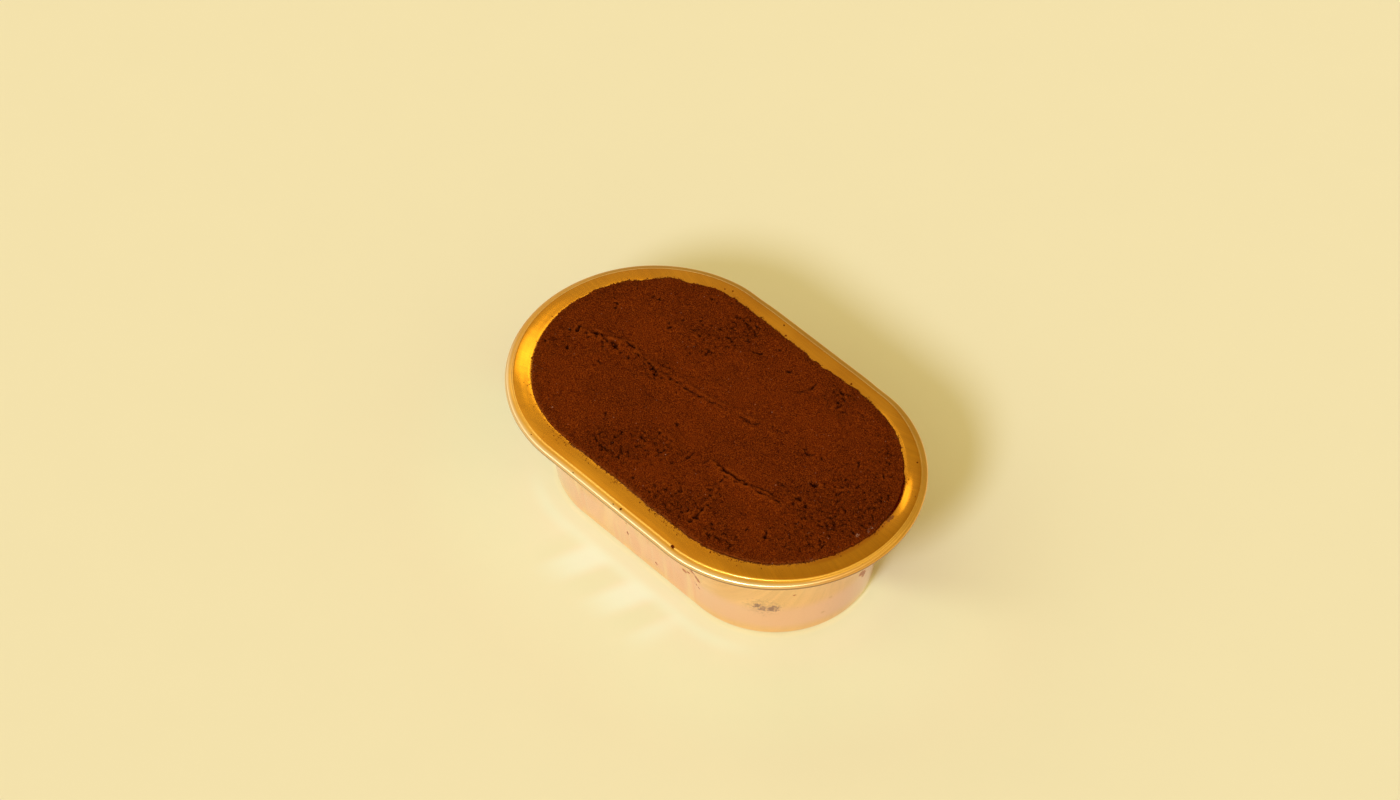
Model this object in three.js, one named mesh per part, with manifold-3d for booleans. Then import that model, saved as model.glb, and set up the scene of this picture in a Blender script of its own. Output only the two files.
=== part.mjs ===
// A tiramisu in its oval foil tray, in millimetres.
// +X runs along the tray, +Z is up, and the origin is under the middle of the base.
// Three pieces: the pressed foil tray, the cream and sponge that fill it, and the
// layer of cocoa spread over them up to the tray's rim.

import * as THREE from 'three';
import { mergeVertices } from 'three/addons/utils/BufferGeometryUtils.js';
import Module from 'manifold-3d';

const wasm = await Module();
wasm.setup();

// Tray: outline, rim and wall
const trayLength = 160;
const trayWidth = 101.6;
const foil = 0.3;
const beadHeight = 44.4;
const beadRadius = 1.15;
const beadStart = THREE.MathUtils.degToRad(145);
const beadEnd = THREE.MathUtils.degToRad(-150);
const flangeTop = 46.85;
const ridgeTop = 46.35;
const ridgeInset = 2.4;
const dipTop = 46.2;
const dipInset = 3.1;
const flangeInnerInset = 8.6;
const wallInset = 11.5;
const wallDraft = Math.tan(THREE.MathUtils.degToRad(6.6));
const rimFillet = 2.9;
const baseFillet = 2.2;

// Filling and cocoa
const clearance = 0.3;
const creamTop = 45.9;
const creamEdge = 0.6;
const cocoaUnderside = 46.2;
const cocoaInset = 8.5;
const cocoaEdge = 0.35;
const cocoaTop = 47.6;
const cocoaCrown = 0.35;
const cocoaRings = 18;
const edgeWander = 0.35;
const rimOverlap = 1.9;
const rimOverlapRise = 0.4;
const clumpScatter = 2.4;
const clumpSmallest = 0.9;
const clumpLargest = 1.8;
const clumpHeight = 0.7;
const clumpSunk = 0.25;

const outerRadius = trayWidth / 2;
const halfStraight = (trayLength - trayWidth) / 2;

// A spoke stands square to the oval outline, with its foot on the centre line
function makeSpokes(arcSteps, straightSteps) {
  const spokes = [];
  for (const side of [1, -1]) {
    const startAngle = side > 0 ? -Math.PI / 2 : Math.PI / 2;
    for (let i = 0; i < arcSteps; i++) {
      spokes.push({ foot: side * halfStraight, angle: startAngle + Math.PI * i / arcSteps });
    }
    for (let i = 0; i < straightSteps; i++) {
      const foot = side * halfStraight * (1 - 2 * i / straightSteps);
      spokes.push({ foot, angle: startAngle + Math.PI });
    }
  }
  return spokes;
}

// Sweeps a profile of (radius, height) points round the oval. The profile starts and
// ends on the centre line, so the surface closes on itself.
function sweepOval(profile, spokes, place = (point) => point) {
  const rings = profile.map(({ x: radius, y: height }, row) => spokes.map(({ foot, angle }) => {
    const point = new THREE.Vector3(foot + radius * Math.cos(angle), radius * Math.sin(angle), height);
    return place(point, row, angle);
  }));
  const corners = [];
  for (let row = 0; row + 1 < rings.length; row++) {
    for (let i = 0; i < spokes.length; i++) {
      const next = (i + 1) % spokes.length;
      const [a, b] = [rings[row][i], rings[row][next]];
      const [c, d] = [rings[row + 1][next], rings[row + 1][i]];
      corners.push(a, b, c, a, c, d);
    }
  }
  return withoutFlatTriangles(mergeVertices(new THREE.BufferGeometry().setFromPoints(corners)));
}

// Drops the triangles that the centre line squeezes to nothing
function withoutFlatTriangles(geometry) {
  const index = Array.from(geometry.index.array);
  const kept = [];
  for (let i = 0; i < index.length; i += 3) {
    const [a, b, c] = index.slice(i, i + 3);
    if (a !== b && b !== c && c !== a) kept.push(a, b, c);
  }
  geometry.setIndex(kept);
  return geometry;
}

// The middle line of the foil, from the centre of the base to the end of the curled bead
function foilLine() {
  const half = foil / 2;
  const radiusAt = (height) => outerRadius - wallInset - (beadHeight - height) * wallDraft;
  const line = new THREE.Path();
  line.moveTo(0, half);
  line.lineTo(radiusAt(0) - baseFillet, half);
  line.quadraticCurveTo(radiusAt(0), half, radiusAt(baseFillet), baseFillet);
  const wallEnd = flangeTop - rimFillet;
  line.lineTo(radiusAt(wallEnd), wallEnd);
  line.quadraticCurveTo(
    radiusAt(flangeTop), flangeTop - half,
    outerRadius - flangeInnerInset, flangeTop - half,
  );
  line.quadraticCurveTo(
    outerRadius - (flangeInnerInset + dipInset) / 2, flangeTop - half,
    outerRadius - dipInset, dipTop - half,
  );
  line.lineTo(outerRadius - ridgeInset, ridgeTop - half);
  line.absarc(outerRadius - beadRadius, beadHeight, beadRadius - half, beadStart, beadEnd, true);
  return line.getPoints(3);
}

// Both skins of a sheet that follows the line: the lower one outward, the upper one back
function sheetProfile(line) {
  const skin = (side) => line.map((point, i) => {
    const before = line[Math.max(i - 1, 0)];
    const after = line[Math.min(i + 1, line.length - 1)];
    const along = after.clone().sub(before).normalize();
    if (i === 0) along.set(1, 0);
    return new THREE.Vector2(point.x - side * along.y * foil / 2, point.y + side * along.x * foil / 2);
  });
  return [...skin(-1), ...skin(1).reverse()];
}

function foilTray() {
  return sweepOval(sheetProfile(foilLine()), makeSpokes(24, 2));
}

// Cream and sponge, clear of the tray's wall and base, up to just under the cocoa
function creamFilling() {
  const innerRadius = (height) =>
    outerRadius - wallInset - (beadHeight - height) * wallDraft - foil / 2 - clearance;
  const bottom = foil + clearance;
  const profile = new THREE.Path();
  profile.moveTo(0, bottom);
  profile.lineTo(innerRadius(0) - baseFillet, bottom);
  profile.quadraticCurveTo(innerRadius(0), bottom, innerRadius(baseFillet), bottom + baseFillet);
  profile.lineTo(innerRadius(creamTop - creamEdge), creamTop - creamEdge);
  profile.lineTo(innerRadius(creamTop) - creamEdge, creamTop);
  profile.lineTo(0, creamTop);
  return sweepOval(profile.getPoints(3), makeSpokes(24, 2));
}

// Ledges where the cocoa broke and folded. Each has a long slope up to its brow and a short
// drop on the left of its route, and damp clumps lie along the broken ones.
const ledges = [
  { route: [[-62, -6], [-53, -4], [-48, -1], [-43, 2], [-37, 1]], height: 0.6, slope: 2.4, drop: 1, clumps: 8 },
  { route: [[-37, 1], [-18, 2], [0, 5], [19, 11]], height: 0.35, slope: 4, drop: 1.6, clumps: 0 },
  { route: [[7, -14.5], [20, -14.6], [32, -13], [45, -10.5]], height: 0.8, slope: 2.8, drop: 0.9, clumps: 0 },
  { route: [[24, -37], [26, -30], [24, -23], [22, -17]], height: 0.5, slope: 2.4, drop: 1, clumps: 4 },
  { route: [[1.5, -27], [0.5, -21], [-3, -18.5], [-9, -18.5]], height: 0.45, slope: 3, drop: 1, clumps: 0 },
  { route: [[44, -35], [34, -38]], height: 0.5, slope: 2, drop: 1, clumps: 3 },
  { route: [[-48, 16], [-30, 21], [-6, 30]], height: 0.3, slope: 4, drop: 2, clumps: 0 },
].map((ledge) => ({ ...ledge, points: smoothRoute(ledge.route) }));

// Broad swells and hollows left by spreading
const swells = [
  { x: -48, y: 26, reach: 16, height: 0.35 },
  { x: -24, y: 12, reach: 12, height: 0.35 },
  { x: -42, y: -14, reach: 13, height: 0.3 },
  { x: 4, y: -28, reach: 12, height: 0.4 },
  { x: 34, y: 14, reach: 15, height: 0.3 },
  { x: 40, y: -24, reach: 12, height: 0.35 },
  { x: 60, y: 4, reach: 9, height: -0.35 },
  { x: 12, y: 34, reach: 10, height: -0.25 },
];

// Clumps of damp cocoa that lie alone
const loneClumps = [
  { x: 44, y: 3, size: 1.6 },
  { x: 45, y: -5.5, size: 0.9 },
  { x: 52, y: -1.5, size: 0.9 },
  { x: 53, y: 4.5, size: 0.8 },
  { x: -40, y: 17, size: 1 },
  { x: -60, y: 10.5, size: 0.8 },
  { x: -26, y: -26, size: 0.9 },
];

function smoothRoute(route) {
  const curve = new THREE.CatmullRomCurve3(route.map(([x, y]) => new THREE.Vector3(x, y, 0)));
  return curve.getPoints(24);
}

// The point of a route nearest to (x, y): how far off, on which side and how far along
function nearestOnRoute(points, x, y) {
  let nearest = { distance: Infinity };
  for (let i = 0; i + 1 < points.length; i++) {
    const from = points[i];
    const along = points[i + 1].clone().sub(from);
    const reached = ((x - from.x) * along.x + (y - from.y) * along.y) / along.lengthSq();
    const share = THREE.MathUtils.clamp(reached, 0, 1);
    const dx = x - from.x - along.x * share;
    const dy = y - from.y - along.y * share;
    const distance = Math.hypot(dx, dy);
    if (distance < nearest.distance) {
      const onLeft = along.x * dy - along.y * dx > 0;
      nearest = { distance, onLeft, at: (i + share) / (points.length - 1) };
    }
  }
  return nearest;
}

function ledgeLift({ points, height, slope, drop }, x, y) {
  const { distance, onLeft, at } = nearestOnRoute(points, x, y);
  const reach = onLeft ? drop : slope;
  return height * Math.sqrt(Math.sin(Math.PI * at)) * Math.exp(-((distance / reach) ** 2));
}

function swellLift({ x: swellX, y: swellY, reach, height }, x, y) {
  return height * Math.exp(-((x - swellX) ** 2 + (y - swellY) ** 2) / reach ** 2);
}

function cocoaHeight(x, y) {
  const fromEdge = 1 - (y / (outerRadius - cocoaInset)) ** 2;
  let height = cocoaTop + cocoaCrown * Math.max(fromEdge, 0);
  for (const swell of swells) height += swellLift(swell, x, y);
  for (const ledge of ledges) height += ledgeLift(ledge, x, y);
  return height;
}

// The edge of the cocoa wanders a little in and out along the rim
function edgeShift(x, angle) {
  return edgeWander * (Math.sin(3 * angle + 0.6) + 0.6 * Math.sin(7 * angle + x / 9));
}

// The cocoa spread: a flat underside that rises over the rim, a thin edge and an uneven top
function cocoaSheet() {
  const edgeRadius = outerRadius - cocoaInset;
  const underside = [
    new THREE.Vector2(0, cocoaUnderside),
    new THREE.Vector2(edgeRadius - 1.75 * rimOverlap, cocoaUnderside),
    new THREE.Vector2(edgeRadius - rimOverlap, cocoaUnderside + rimOverlapRise),
    new THREE.Vector2(edgeRadius, flangeTop + clearance),
    new THREE.Vector2(edgeRadius, flangeTop + clearance + cocoaEdge),
  ];
  const top = Array.from({ length: cocoaRings }, (_, i) =>
    new THREE.Vector2(edgeRadius * (1 - (i + 1) / cocoaRings), cocoaTop));
  return sweepOval([...underside, ...top], makeSpokes(30, 16), (point, row, angle) => {
    if (row >= underside.length) {
      point.z = cocoaHeight(point.x, point.y);
    } else if (row >= underside.length - 2) {
      const shift = edgeShift(point.x, angle);
      point.x += shift * Math.cos(angle);
      point.y += shift * Math.sin(angle);
    }
    return point;
  });
}

// A random row that comes out the same every time
function seededRandom(seed) {
  let state = seed;
  return () => {
    state = (state * 16807) % 2147483647;
    return state / 2147483647;
  };
}

function clumpsAlong({ points, clumps }, random) {
  return Array.from({ length: clumps }, (_, i) => {
    const { x, y } = points[Math.round((i + 0.5) / clumps * (points.length - 1))];
    const scatter = () => clumpScatter * (random() - 0.5);
    const size = THREE.MathUtils.lerp(clumpSmallest, clumpLargest, random());
    return { x: x + scatter(), y: y + scatter(), size };
  });
}

// A low lump, sunk so that only its crown stands out
function clumpShape({ x, y, size }, random) {
  const clump = new THREE.IcosahedronGeometry(size, 1);
  clump.scale(1 + 0.5 * random(), 1, clumpHeight);
  clump.rotateZ(Math.PI * random());
  clump.translate(x, y, cocoaHeight(x, y) - clumpSunk * size);
  return clump;
}

function toSolid(geometry) {
  geometry.deleteAttribute('normal');
  geometry.deleteAttribute('uv');
  const merged = mergeVertices(geometry);
  return new wasm.Manifold(new wasm.Mesh({
    numProp: 3,
    vertProperties: Float32Array.from(merged.attributes.position.array),
    triVerts: Uint32Array.from(merged.index.array),
  }));
}

function toGeometry(solid) {
  const { vertProperties, triVerts } = solid.getMesh();
  const geometry = new THREE.BufferGeometry();
  geometry.setAttribute('position', new THREE.BufferAttribute(Float32Array.from(vertProperties), 3));
  geometry.setIndex(Array.from(triVerts));
  return geometry;
}

function cocoaLayer() {
  const random = seededRandom(7);
  const clumps = [...loneClumps, ...ledges.flatMap((ledge) => clumpsAlong(ledge, random))];
  let solid = toSolid(cocoaSheet());
  for (const clump of clumps) solid = solid.add(toSolid(clumpShape(clump, random)));
  return toGeometry(solid);
}

function piece(name, geometry, color, roughness, metalness) {
  const mesh = new THREE.Mesh(geometry, new THREE.MeshStandardMaterial({ color, roughness, metalness }));
  mesh.name = name;
  return mesh;
}

const group = new THREE.Group();
group.add(piece('foil_tray', foilTray(), '#c98a1c', 0.35, 1));
group.add(piece('cream_filling', creamFilling(), '#ead9b8', 0.6, 0));
group.add(piece('cocoa_layer', cocoaLayer(), '#5c2004', 0.95, 0));

export default group;
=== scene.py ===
import math

import bpy
import numpy as np
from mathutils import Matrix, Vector


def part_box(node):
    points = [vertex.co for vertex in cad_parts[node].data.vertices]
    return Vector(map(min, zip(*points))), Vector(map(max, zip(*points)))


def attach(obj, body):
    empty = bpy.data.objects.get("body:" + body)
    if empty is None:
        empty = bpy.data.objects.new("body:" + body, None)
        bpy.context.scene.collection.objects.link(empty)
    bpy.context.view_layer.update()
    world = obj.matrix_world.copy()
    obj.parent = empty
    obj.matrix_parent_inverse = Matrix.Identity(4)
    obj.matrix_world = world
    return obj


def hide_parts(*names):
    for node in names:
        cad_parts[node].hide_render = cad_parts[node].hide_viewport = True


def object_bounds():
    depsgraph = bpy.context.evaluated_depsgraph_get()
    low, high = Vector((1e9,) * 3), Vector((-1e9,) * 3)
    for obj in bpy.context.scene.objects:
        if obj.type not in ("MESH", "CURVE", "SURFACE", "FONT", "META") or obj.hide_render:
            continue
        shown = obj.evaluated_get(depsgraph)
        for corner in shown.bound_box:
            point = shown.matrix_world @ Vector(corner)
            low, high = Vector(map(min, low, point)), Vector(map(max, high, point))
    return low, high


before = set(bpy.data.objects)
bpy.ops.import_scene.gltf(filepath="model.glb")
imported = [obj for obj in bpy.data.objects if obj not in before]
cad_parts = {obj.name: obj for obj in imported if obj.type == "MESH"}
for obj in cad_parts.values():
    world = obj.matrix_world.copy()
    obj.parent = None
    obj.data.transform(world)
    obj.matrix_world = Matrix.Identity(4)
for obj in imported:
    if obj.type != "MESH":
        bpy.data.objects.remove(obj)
cadLow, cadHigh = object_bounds()
mm = 0.001
topLimit = cadHigh.z / mm

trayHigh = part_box("foil_tray")[1]
outerRadius = trayHigh.y / mm
halfStraight = (trayHigh.x - trayHigh.y) / mm
print("frame loaded")


# small helpers

def deselectAll():
    if bpy.context.mode != "OBJECT":
        bpy.ops.object.mode_set(mode="OBJECT")
    bpy.ops.object.select_all(action="DESELECT")


def nameMade(name):
    piece = bpy.context.object
    piece.name = name
    piece.data.name = name
    return piece


def pick(piece):
    deselectAll()
    piece.select_set(True)
    bpy.context.view_layer.objects.active = piece
    return piece


def editAll():
    bpy.ops.object.mode_set(mode="EDIT")
    bpy.ops.mesh.select_all(action="SELECT")


def applyModifiers(piece):
    pick(piece)
    for modifier in list(piece.modifiers):
        bpy.ops.object.modifier_apply(modifier=modifier.name)


def readPoints(piece):
    flat = np.empty(len(piece.data.vertices) * 3)
    piece.data.vertices.foreach_get("co", flat)
    return flat.reshape(-1, 3) / mm


def writePoints(piece, points):
    piece.data.vertices.foreach_set("co", (points * mm).ravel())
    piece.data.update()


def paint(piece, name, values):
    layer = piece.data.attributes.new(name, "FLOAT", "POINT")
    layer.data.foreach_set("value", np.clip(values, 0, 1))


def paintVector(piece, name, vectors):
    layer = piece.data.attributes.new(name, "FLOAT_VECTOR", "POINT")
    layer.data.foreach_set("vector", vectors.ravel())


def smoothStep(values, low, high):
    share = np.clip((values - low) / (high - low), 0, 1)
    return share * share * (3 - 2 * share)


# rises from 0 to 1 between the first two ends and falls back between the last two
def within(values, riseFrom, riseTo, fallFrom, fallTo):
    return smoothStep(values, riseFrom, riseTo) * (1 - smoothStep(values, fallFrom, fallTo))


# a bell-shaped rise of 1 about a place
def dome(x, y, centreX, centreY, reach):
    return np.exp(-((x - centreX) ** 2 + (y - centreY) ** 2) / reach ** 2)


# foot on the oval's centre line, distance from it, and the direction outward
def ovalCoordinates(x, y):
    foot = np.clip(x, -halfStraight, halfStraight)
    radius = np.hypot(x - foot, y)
    reach = np.maximum(radius, 1e-9)
    return foot, radius, (x - foot) / reach, y / reach


# smooth noise from -1 to 1 with bumps about one cell across, the same on every run
def softNoise(x, y, cell, seed):
    lattice = np.random.default_rng(seed).uniform(-1, 1, (256, 256))
    turn = 0.6 + seed
    u = (x * math.cos(turn) - y * math.sin(turn)) / cell + 512.3
    v = (x * math.sin(turn) + y * math.cos(turn)) / cell + 512.7
    column, row = np.floor(u).astype(int), np.floor(v).astype(int)
    du, dv = u - column, v - row
    du, dv = du * du * (3 - 2 * du), dv * dv * (3 - 2 * dv)
    corner = lambda i, j: lattice[(column + i) % 256, (row + j) % 256]
    near = corner(0, 0) * (1 - du) + corner(1, 0) * du
    far = corner(0, 1) * (1 - du) + corner(1, 1) * du
    return near * (1 - dv) + far * dv


# node helpers

def startMaterial(name):
    material = bpy.data.materials.new(name)
    material.use_nodes = True
    tree = material.node_tree
    return material, tree, tree.nodes["Principled BSDF"]


# links the sockets among the values, and sets the rest on the node's own sockets
def feed(node, inputs):
    for key, value in inputs.items():
        if isinstance(value, bpy.types.NodeSocket):
            node.id_data.links.new(value, node.inputs[key])
        else:
            node.inputs[key].default_value = value


def addNode(tree, kind, inputs, **settings):
    node = tree.nodes.new(kind)
    for key, value in settings.items():
        setattr(node, key, value)
    feed(node, inputs)
    return node


# the node tree that the sockets among the values belong to
def treeOf(*values):
    return next(value.id_data for value in values if isinstance(value, bpy.types.NodeSocket))


def mathNode(operation, first, second=0.0):
    inputs = {0: first, 1: second}
    return addNode(treeOf(first, second), "ShaderNodeMath", inputs, operation=operation).outputs[0]


def times(first, *others):
    for other in others:
        first = mathNode("MULTIPLY", first, other)
    return first


def vectorNode(operation, *values, output=0):
    inputs = dict(enumerate(values))
    return addNode(treeOf(*values), "ShaderNodeVectorMath", inputs, operation=operation).outputs[output]


def coordinates(place):
    return addNode(treeOf(place), "ShaderNodeSeparateXYZ", {0: place}).outputs[:3]


def mapRange(value, low, high, toLow=0.0, toHigh=1.0):
    inputs = {"Value": value, 1: low, 2: high, 3: toLow, 4: toHigh}
    return addNode(treeOf(value), "ShaderNodeMapRange", inputs, interpolation_type="SMOOTHSTEP").outputs[0]


# a smooth step between two places in mm
def ramp(value, low, high):
    return mapRange(value, low * mm, high * mm)


def noiseNode(vector, scale, detail=3.0, roughness=0.55):
    inputs = {"Vector": vector, "Scale": scale, "Detail": detail, "Roughness": roughness, "Distortion": 0.0}
    return addNode(treeOf(vector), "ShaderNodeTexNoise", inputs).outputs["Fac"]


def mixColour(share, first, second, blend="MIX"):
    first, second = ((*value, 1) if isinstance(value, tuple) else value for value in (first, second))
    inputs = {0: share, 6: first, 7: second}
    tree = treeOf(share, first, second)
    return addNode(tree, "ShaderNodeMix", inputs, data_type="RGBA", blend_type=blend).outputs[2]


def mapped(vector, location=(0, 0, 0), rotation=(0, 0, 0), scale=(1, 1, 1)):
    inputs = {"Vector": vector, "Location": location, "Rotation": rotation, "Scale": scale}
    return addNode(treeOf(vector), "ShaderNodeMapping", inputs).outputs[0]


def objectPlace(tree):
    return addNode(tree, "ShaderNodeTexCoord", {}).outputs["Object"]


def bumpNode(height, strength, distance, **before):
    inputs = {"Height": height, "Strength": strength, "Distance": distance, **before}
    return addNode(treeOf(height), "ShaderNodeBump", inputs).outputs[0]


def painted(tree, name, output="Fac"):
    return addNode(tree, "ShaderNodeAttribute", {}, attribute_name=name).outputs[output]


stain = {"noise": 900.0, "detail": 4.0, "roughness": 0.7, "wobble": 4, "core": 0.25}


# a soft round stain about a place in mm, stretched along the turned x axis
def stainMask(place, centre, reach, stretch=1.0, turn=0.0, ragged=0.5):
    moved = vectorNode("SUBTRACT", place, Vector(centre) * mm)
    turned = mapped(moved, rotation=(0, 0, math.radians(turn)), scale=(1 / stretch, 1, 1))
    distance = vectorNode("LENGTH", turned, output="Value")
    rough = noiseNode(place, stain["noise"], stain["detail"], stain["roughness"])
    wobble = times(mathNode("SUBTRACT", rough, 0.5), ragged * reach * mm * stain["wobble"])
    return mapRange(mathNode("ADD", distance, wobble), reach * mm, reach * mm * stain["core"])


# camera

camera = {
    "place": (0.7298, -0.7079, 1.2121), "look": (-0.4762, 0.4575, -0.7509),
    "lens": 118.58, "sensor": 36, "clipStart": 0.05,
}


def makeCamera(spec):
    deselectAll()
    bpy.ops.object.camera_add(location=spec["place"])
    made = nameMade("studioCamera")
    made.rotation_euler = Vector(spec["look"]).to_track_quat("-Z", "Y").to_euler()
    made.data.lens = spec["lens"]
    made.data.sensor_width = spec["sensor"]
    made.data.clip_start = spec["clipStart"]
    bpy.context.scene.camera = made


makeCamera(camera)


# floor and light

glint = (0.9972, 0.9996, 1.5, (0.95, 0.86, 0.30))  # a small hard light that the flange picks up
studio = {
    "floorSize": 12.0,
    "floorColour": (0.87, 0.80, 0.62),
    "floorDarker": 0.985, "floorRoughness": 0.9,
    "grainScale": 40.0, "fineScale": 2500.0, "fineStrength": 0.1, "fineHeight": 0.05,
    "keyDirection": (0.275, -0.743, 0.610),
    "keyStrength": 1.485,
    "keyColour": (0.91, 1.0, 1.17),
    "keyAngle": 12.5,
    "skyColour": (0.84, 0.70, 0.30),
    "skyBase": 0.50,
    "lobes": [  # toward, the cosines where it begins and is full, strength, colour
        ((0.60, -0.35, 0.72), 0.30, 1.0, 0.64, (0.84, 0.68, 0.26)),
        ((-0.48, -0.20, 0.86), 0.85, 0.98, 0.42, (0.86, 0.80, 0.55)),
        ((-0.68, 0.38, 0.63), 0.87, 0.97, 0.17, (0.95, 0.92, 0.8)),
        ((-0.90, 0.02, 0.43), 0.96, 0.985, 0.9, (0.95, 0.88, 0.72)),
        ((-0.48, -0.66, 0.58), 0.92, 0.985, 0.8, (0.86, 0.90, 0.78)),
        ((-0.66, 0.33, 0.675), *glint), ((-0.60, 0.37, 0.71), *glint), ((-0.54, 0.41, 0.735), *glint),
        ((-0.50, -0.80, 0.30), 0.75, 0.95, 0.25, (0.95, 0.88, 0.72)),
    ],
    # painted light and shade on the floor: the light the wall throws, added as glow, painted dim spots
    # between its rays, and painted shade beside the lit wall
    "thrown": {  # light that the wall throws on the floor: ramps in mm from none to full, then each colour
        "wallFoot": 33.8, "endToward": (0.766, 0.643),
        "softRamp": (62.0, 18), "endRamp": (85.0, 5), "glowIn": (4.5, 8.0), "glowOut": (12.5, 8.0),
        "footRamp": (15, 3), "contactRamp": (2.6, 0.3), "besideRamp": (12, 1),
        "litFacing": (-0.3, 0.0), "endFacing": (0.1, 1.0), "footFacing": (0.3, 0.9),
        "frontFacing": (0.75, 1.0),
        "pitch": 21.5, "at": 9.7, "slant": 0.30, "slantFrom": -40.0,
        "rayReach": ((-66.0, -49.0), (-39.0, -46.0)), "raySpan": ((-33.0, -21.0), (32.0, 20.0)),
        "rayWave": (-0.5, 0.9), "dimWave": (0.0, -0.9), "dimShare": 0.5,
        "soft": (0.008, 0.058, 0.028), "beyondEnd": (0.105, 0.066, 0.042), "foot": (0.050, 0.045, 0.022),
        "glow": (0.000, 0.045, 0.050), "rays": (0.012, 0.078, 0.100), "contact": (0.085, 0.050, 0.005),
        # colours of the painted dim spots between the rays and of the painted shade beside the wall
        "hollow": (0.80, 0.77, 0.55), "besideWall": (0.83, 0.79, 0.60),
    },
}


# painted light: the light that the wall throws on the floor as a colour to add as glow, and the shares of
# painted dim spots between its rays and of painted shade on the floor by the wall
def thrownLight(place, thrown, keyDirection):
    x, y, _ = coordinates(place)
    foot = mathNode("MAXIMUM", mathNode("MINIMUM", x, halfStraight * mm), -halfStraight * mm)
    side = mathNode("SUBTRACT", x, foot)
    radius = mathNode("SQRT", mathNode("ADD", times(side, side), times(y, y)))
    away = mathNode("SUBTRACT", radius, thrown["wallFoot"] * mm)

    def facing(toward, name):
        both = mathNode("ADD", times(side, toward[0]), times(y, toward[1]))
        return mapRange(mathNode("DIVIDE", both, radius), *thrown[name])

    lit = facing(Vector(keyDirection[:2]).normalized(), "litFacing")
    drift = times(mathNode("SUBTRACT", y, thrown["slantFrom"] * mm), thrown["slant"])
    across = mathNode("SUBTRACT", mathNode("SUBTRACT", x, drift), thrown["at"] * mm)
    wave = mathNode("COSINE", times(across, 2 * math.pi / (thrown["pitch"] * mm)))
    ends = [ramp(y, *reach) for reach in thrown["rayReach"]] + [ramp(x, *span) for span in thrown["raySpan"]]
    inRays = times(*ends)
    shares = {
        "soft": times(lit, ramp(away, *thrown["softRamp"])),
        "beyondEnd": times(lit, facing(thrown["endToward"], "endFacing"), ramp(away, *thrown["endRamp"])),
        "foot": times(lit, facing(thrown["endToward"], "footFacing"), ramp(away, *thrown["footRamp"])),
        "glow": times(ramp(away, *thrown["glowIn"]), ramp(away, *thrown["glowOut"]),
                      facing((0.0, -1.0), "frontFacing")),
        "rays": times(mapRange(wave, *thrown["rayWave"]), inRays),
        "contact": times(lit, ramp(away, *thrown["contactRamp"])),
    }
    total = (0.0, 0.0, 0.0)
    for name, share in shares.items():
        total = vectorNode("MULTIPLY_ADD", share, thrown[name], total)
    dim = times(mapRange(wave, *thrown["dimWave"]), inRays, thrown["dimShare"])
    return total, dim, times(lit, ramp(away, *thrown["besideRamp"]))


def floorMaterial(spec):
    material, tree, shader = startMaterial("paleBackdrop")
    place = objectPlace(tree)
    darker = tuple(spec["floorDarker"] * value for value in spec["floorColour"])
    tone = mixColour(noiseNode(place, spec["grainScale"], 4.0), darker, spec["floorColour"])
    # painted light from the wall as glow, painted dim spots between its rays and painted shade beside the
    # wall
    light, dim, beside = thrownLight(place, spec["thrown"], spec["keyDirection"])
    tone = mixColour(beside, tone, spec["thrown"]["besideWall"])
    tone = mixColour(dim, tone, spec["thrown"]["hollow"])
    fine = noiseNode(place, spec["fineScale"], 2.0)
    feed(shader, {"Base Color": tone, "Emission Color": light, "Emission Strength": 1.0,
                  "Roughness": spec["floorRoughness"], "Specular IOR Level": 0.0,
                  "Normal": bumpNode(fine, spec["fineStrength"], spec["fineHeight"] * mm)})
    return material


def makeFloor(spec):
    deselectAll()
    bpy.ops.mesh.primitive_plane_add(size=spec["floorSize"])
    floor = nameMade("studioFloor")
    floor.data.materials.append(floorMaterial(spec))


def makeKeyLight(spec):
    deselectAll()
    bpy.ops.object.light_add(type="SUN")
    key = nameMade("keyLight")
    key.rotation_euler = (-Vector(spec["keyDirection"])).to_track_quat("-Z", "Y").to_euler()
    key.data.energy = spec["keyStrength"]
    key.data.color = spec["keyColour"]
    key.data.angle = math.radians(spec["keyAngle"])


def makeSky(spec):
    world = bpy.data.worlds.new("softStudio")
    bpy.context.scene.world = world
    world.use_nodes = True
    tree = world.node_tree
    direction = addNode(tree, "ShaderNodeTexCoord", {}).outputs["Generated"]
    glow = tuple(value * spec["skyBase"] for value in spec["skyColour"])
    for toward, begins, full, strength, colour in spec["lobes"]:
        toward = tuple(Vector(toward).normalized())
        facing = vectorNode("DOT_PRODUCT", direction, toward, output="Value")
        glow = vectorNode("MULTIPLY_ADD", mapRange(facing, begins, full, 0.0, strength), colour, glow)
    feed(tree.nodes["Background"], {"Color": glow})


makeFloor(studio)
makeKeyLight(studio)
makeSky(studio)
bpy.context.scene.view_settings.view_transform = "Standard"
print("camera, floor and light made")


# swept pieces

# a curved run from start to end, without its first point
def bend(start, control, end, steps):
    shares = [(i + 1) / steps for i in range(steps)]
    mix = lambda t, i: (1 - t) ** 2 * start[i] + 2 * t * (1 - t) * control[i] + t * t * end[i]
    return [(mix(t, 0), mix(t, 1)) for t in shares]


def straight(start, end, steps):
    return [(start[0] + (end[0] - start[0]) * i / steps, start[1] + (end[1] - start[1]) * i / steps)
            for i in range(1, steps + 1)]


def roundRun(centre, radii, fromAngle, toAngle, steps):
    angles = [math.radians(fromAngle + (toAngle - fromAngle) * i / steps) for i in range(steps + 1)]
    return [(centre[0] + radii[0] * math.cos(a), centre[1] + radii[1] * math.sin(a)) for a in angles]


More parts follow.
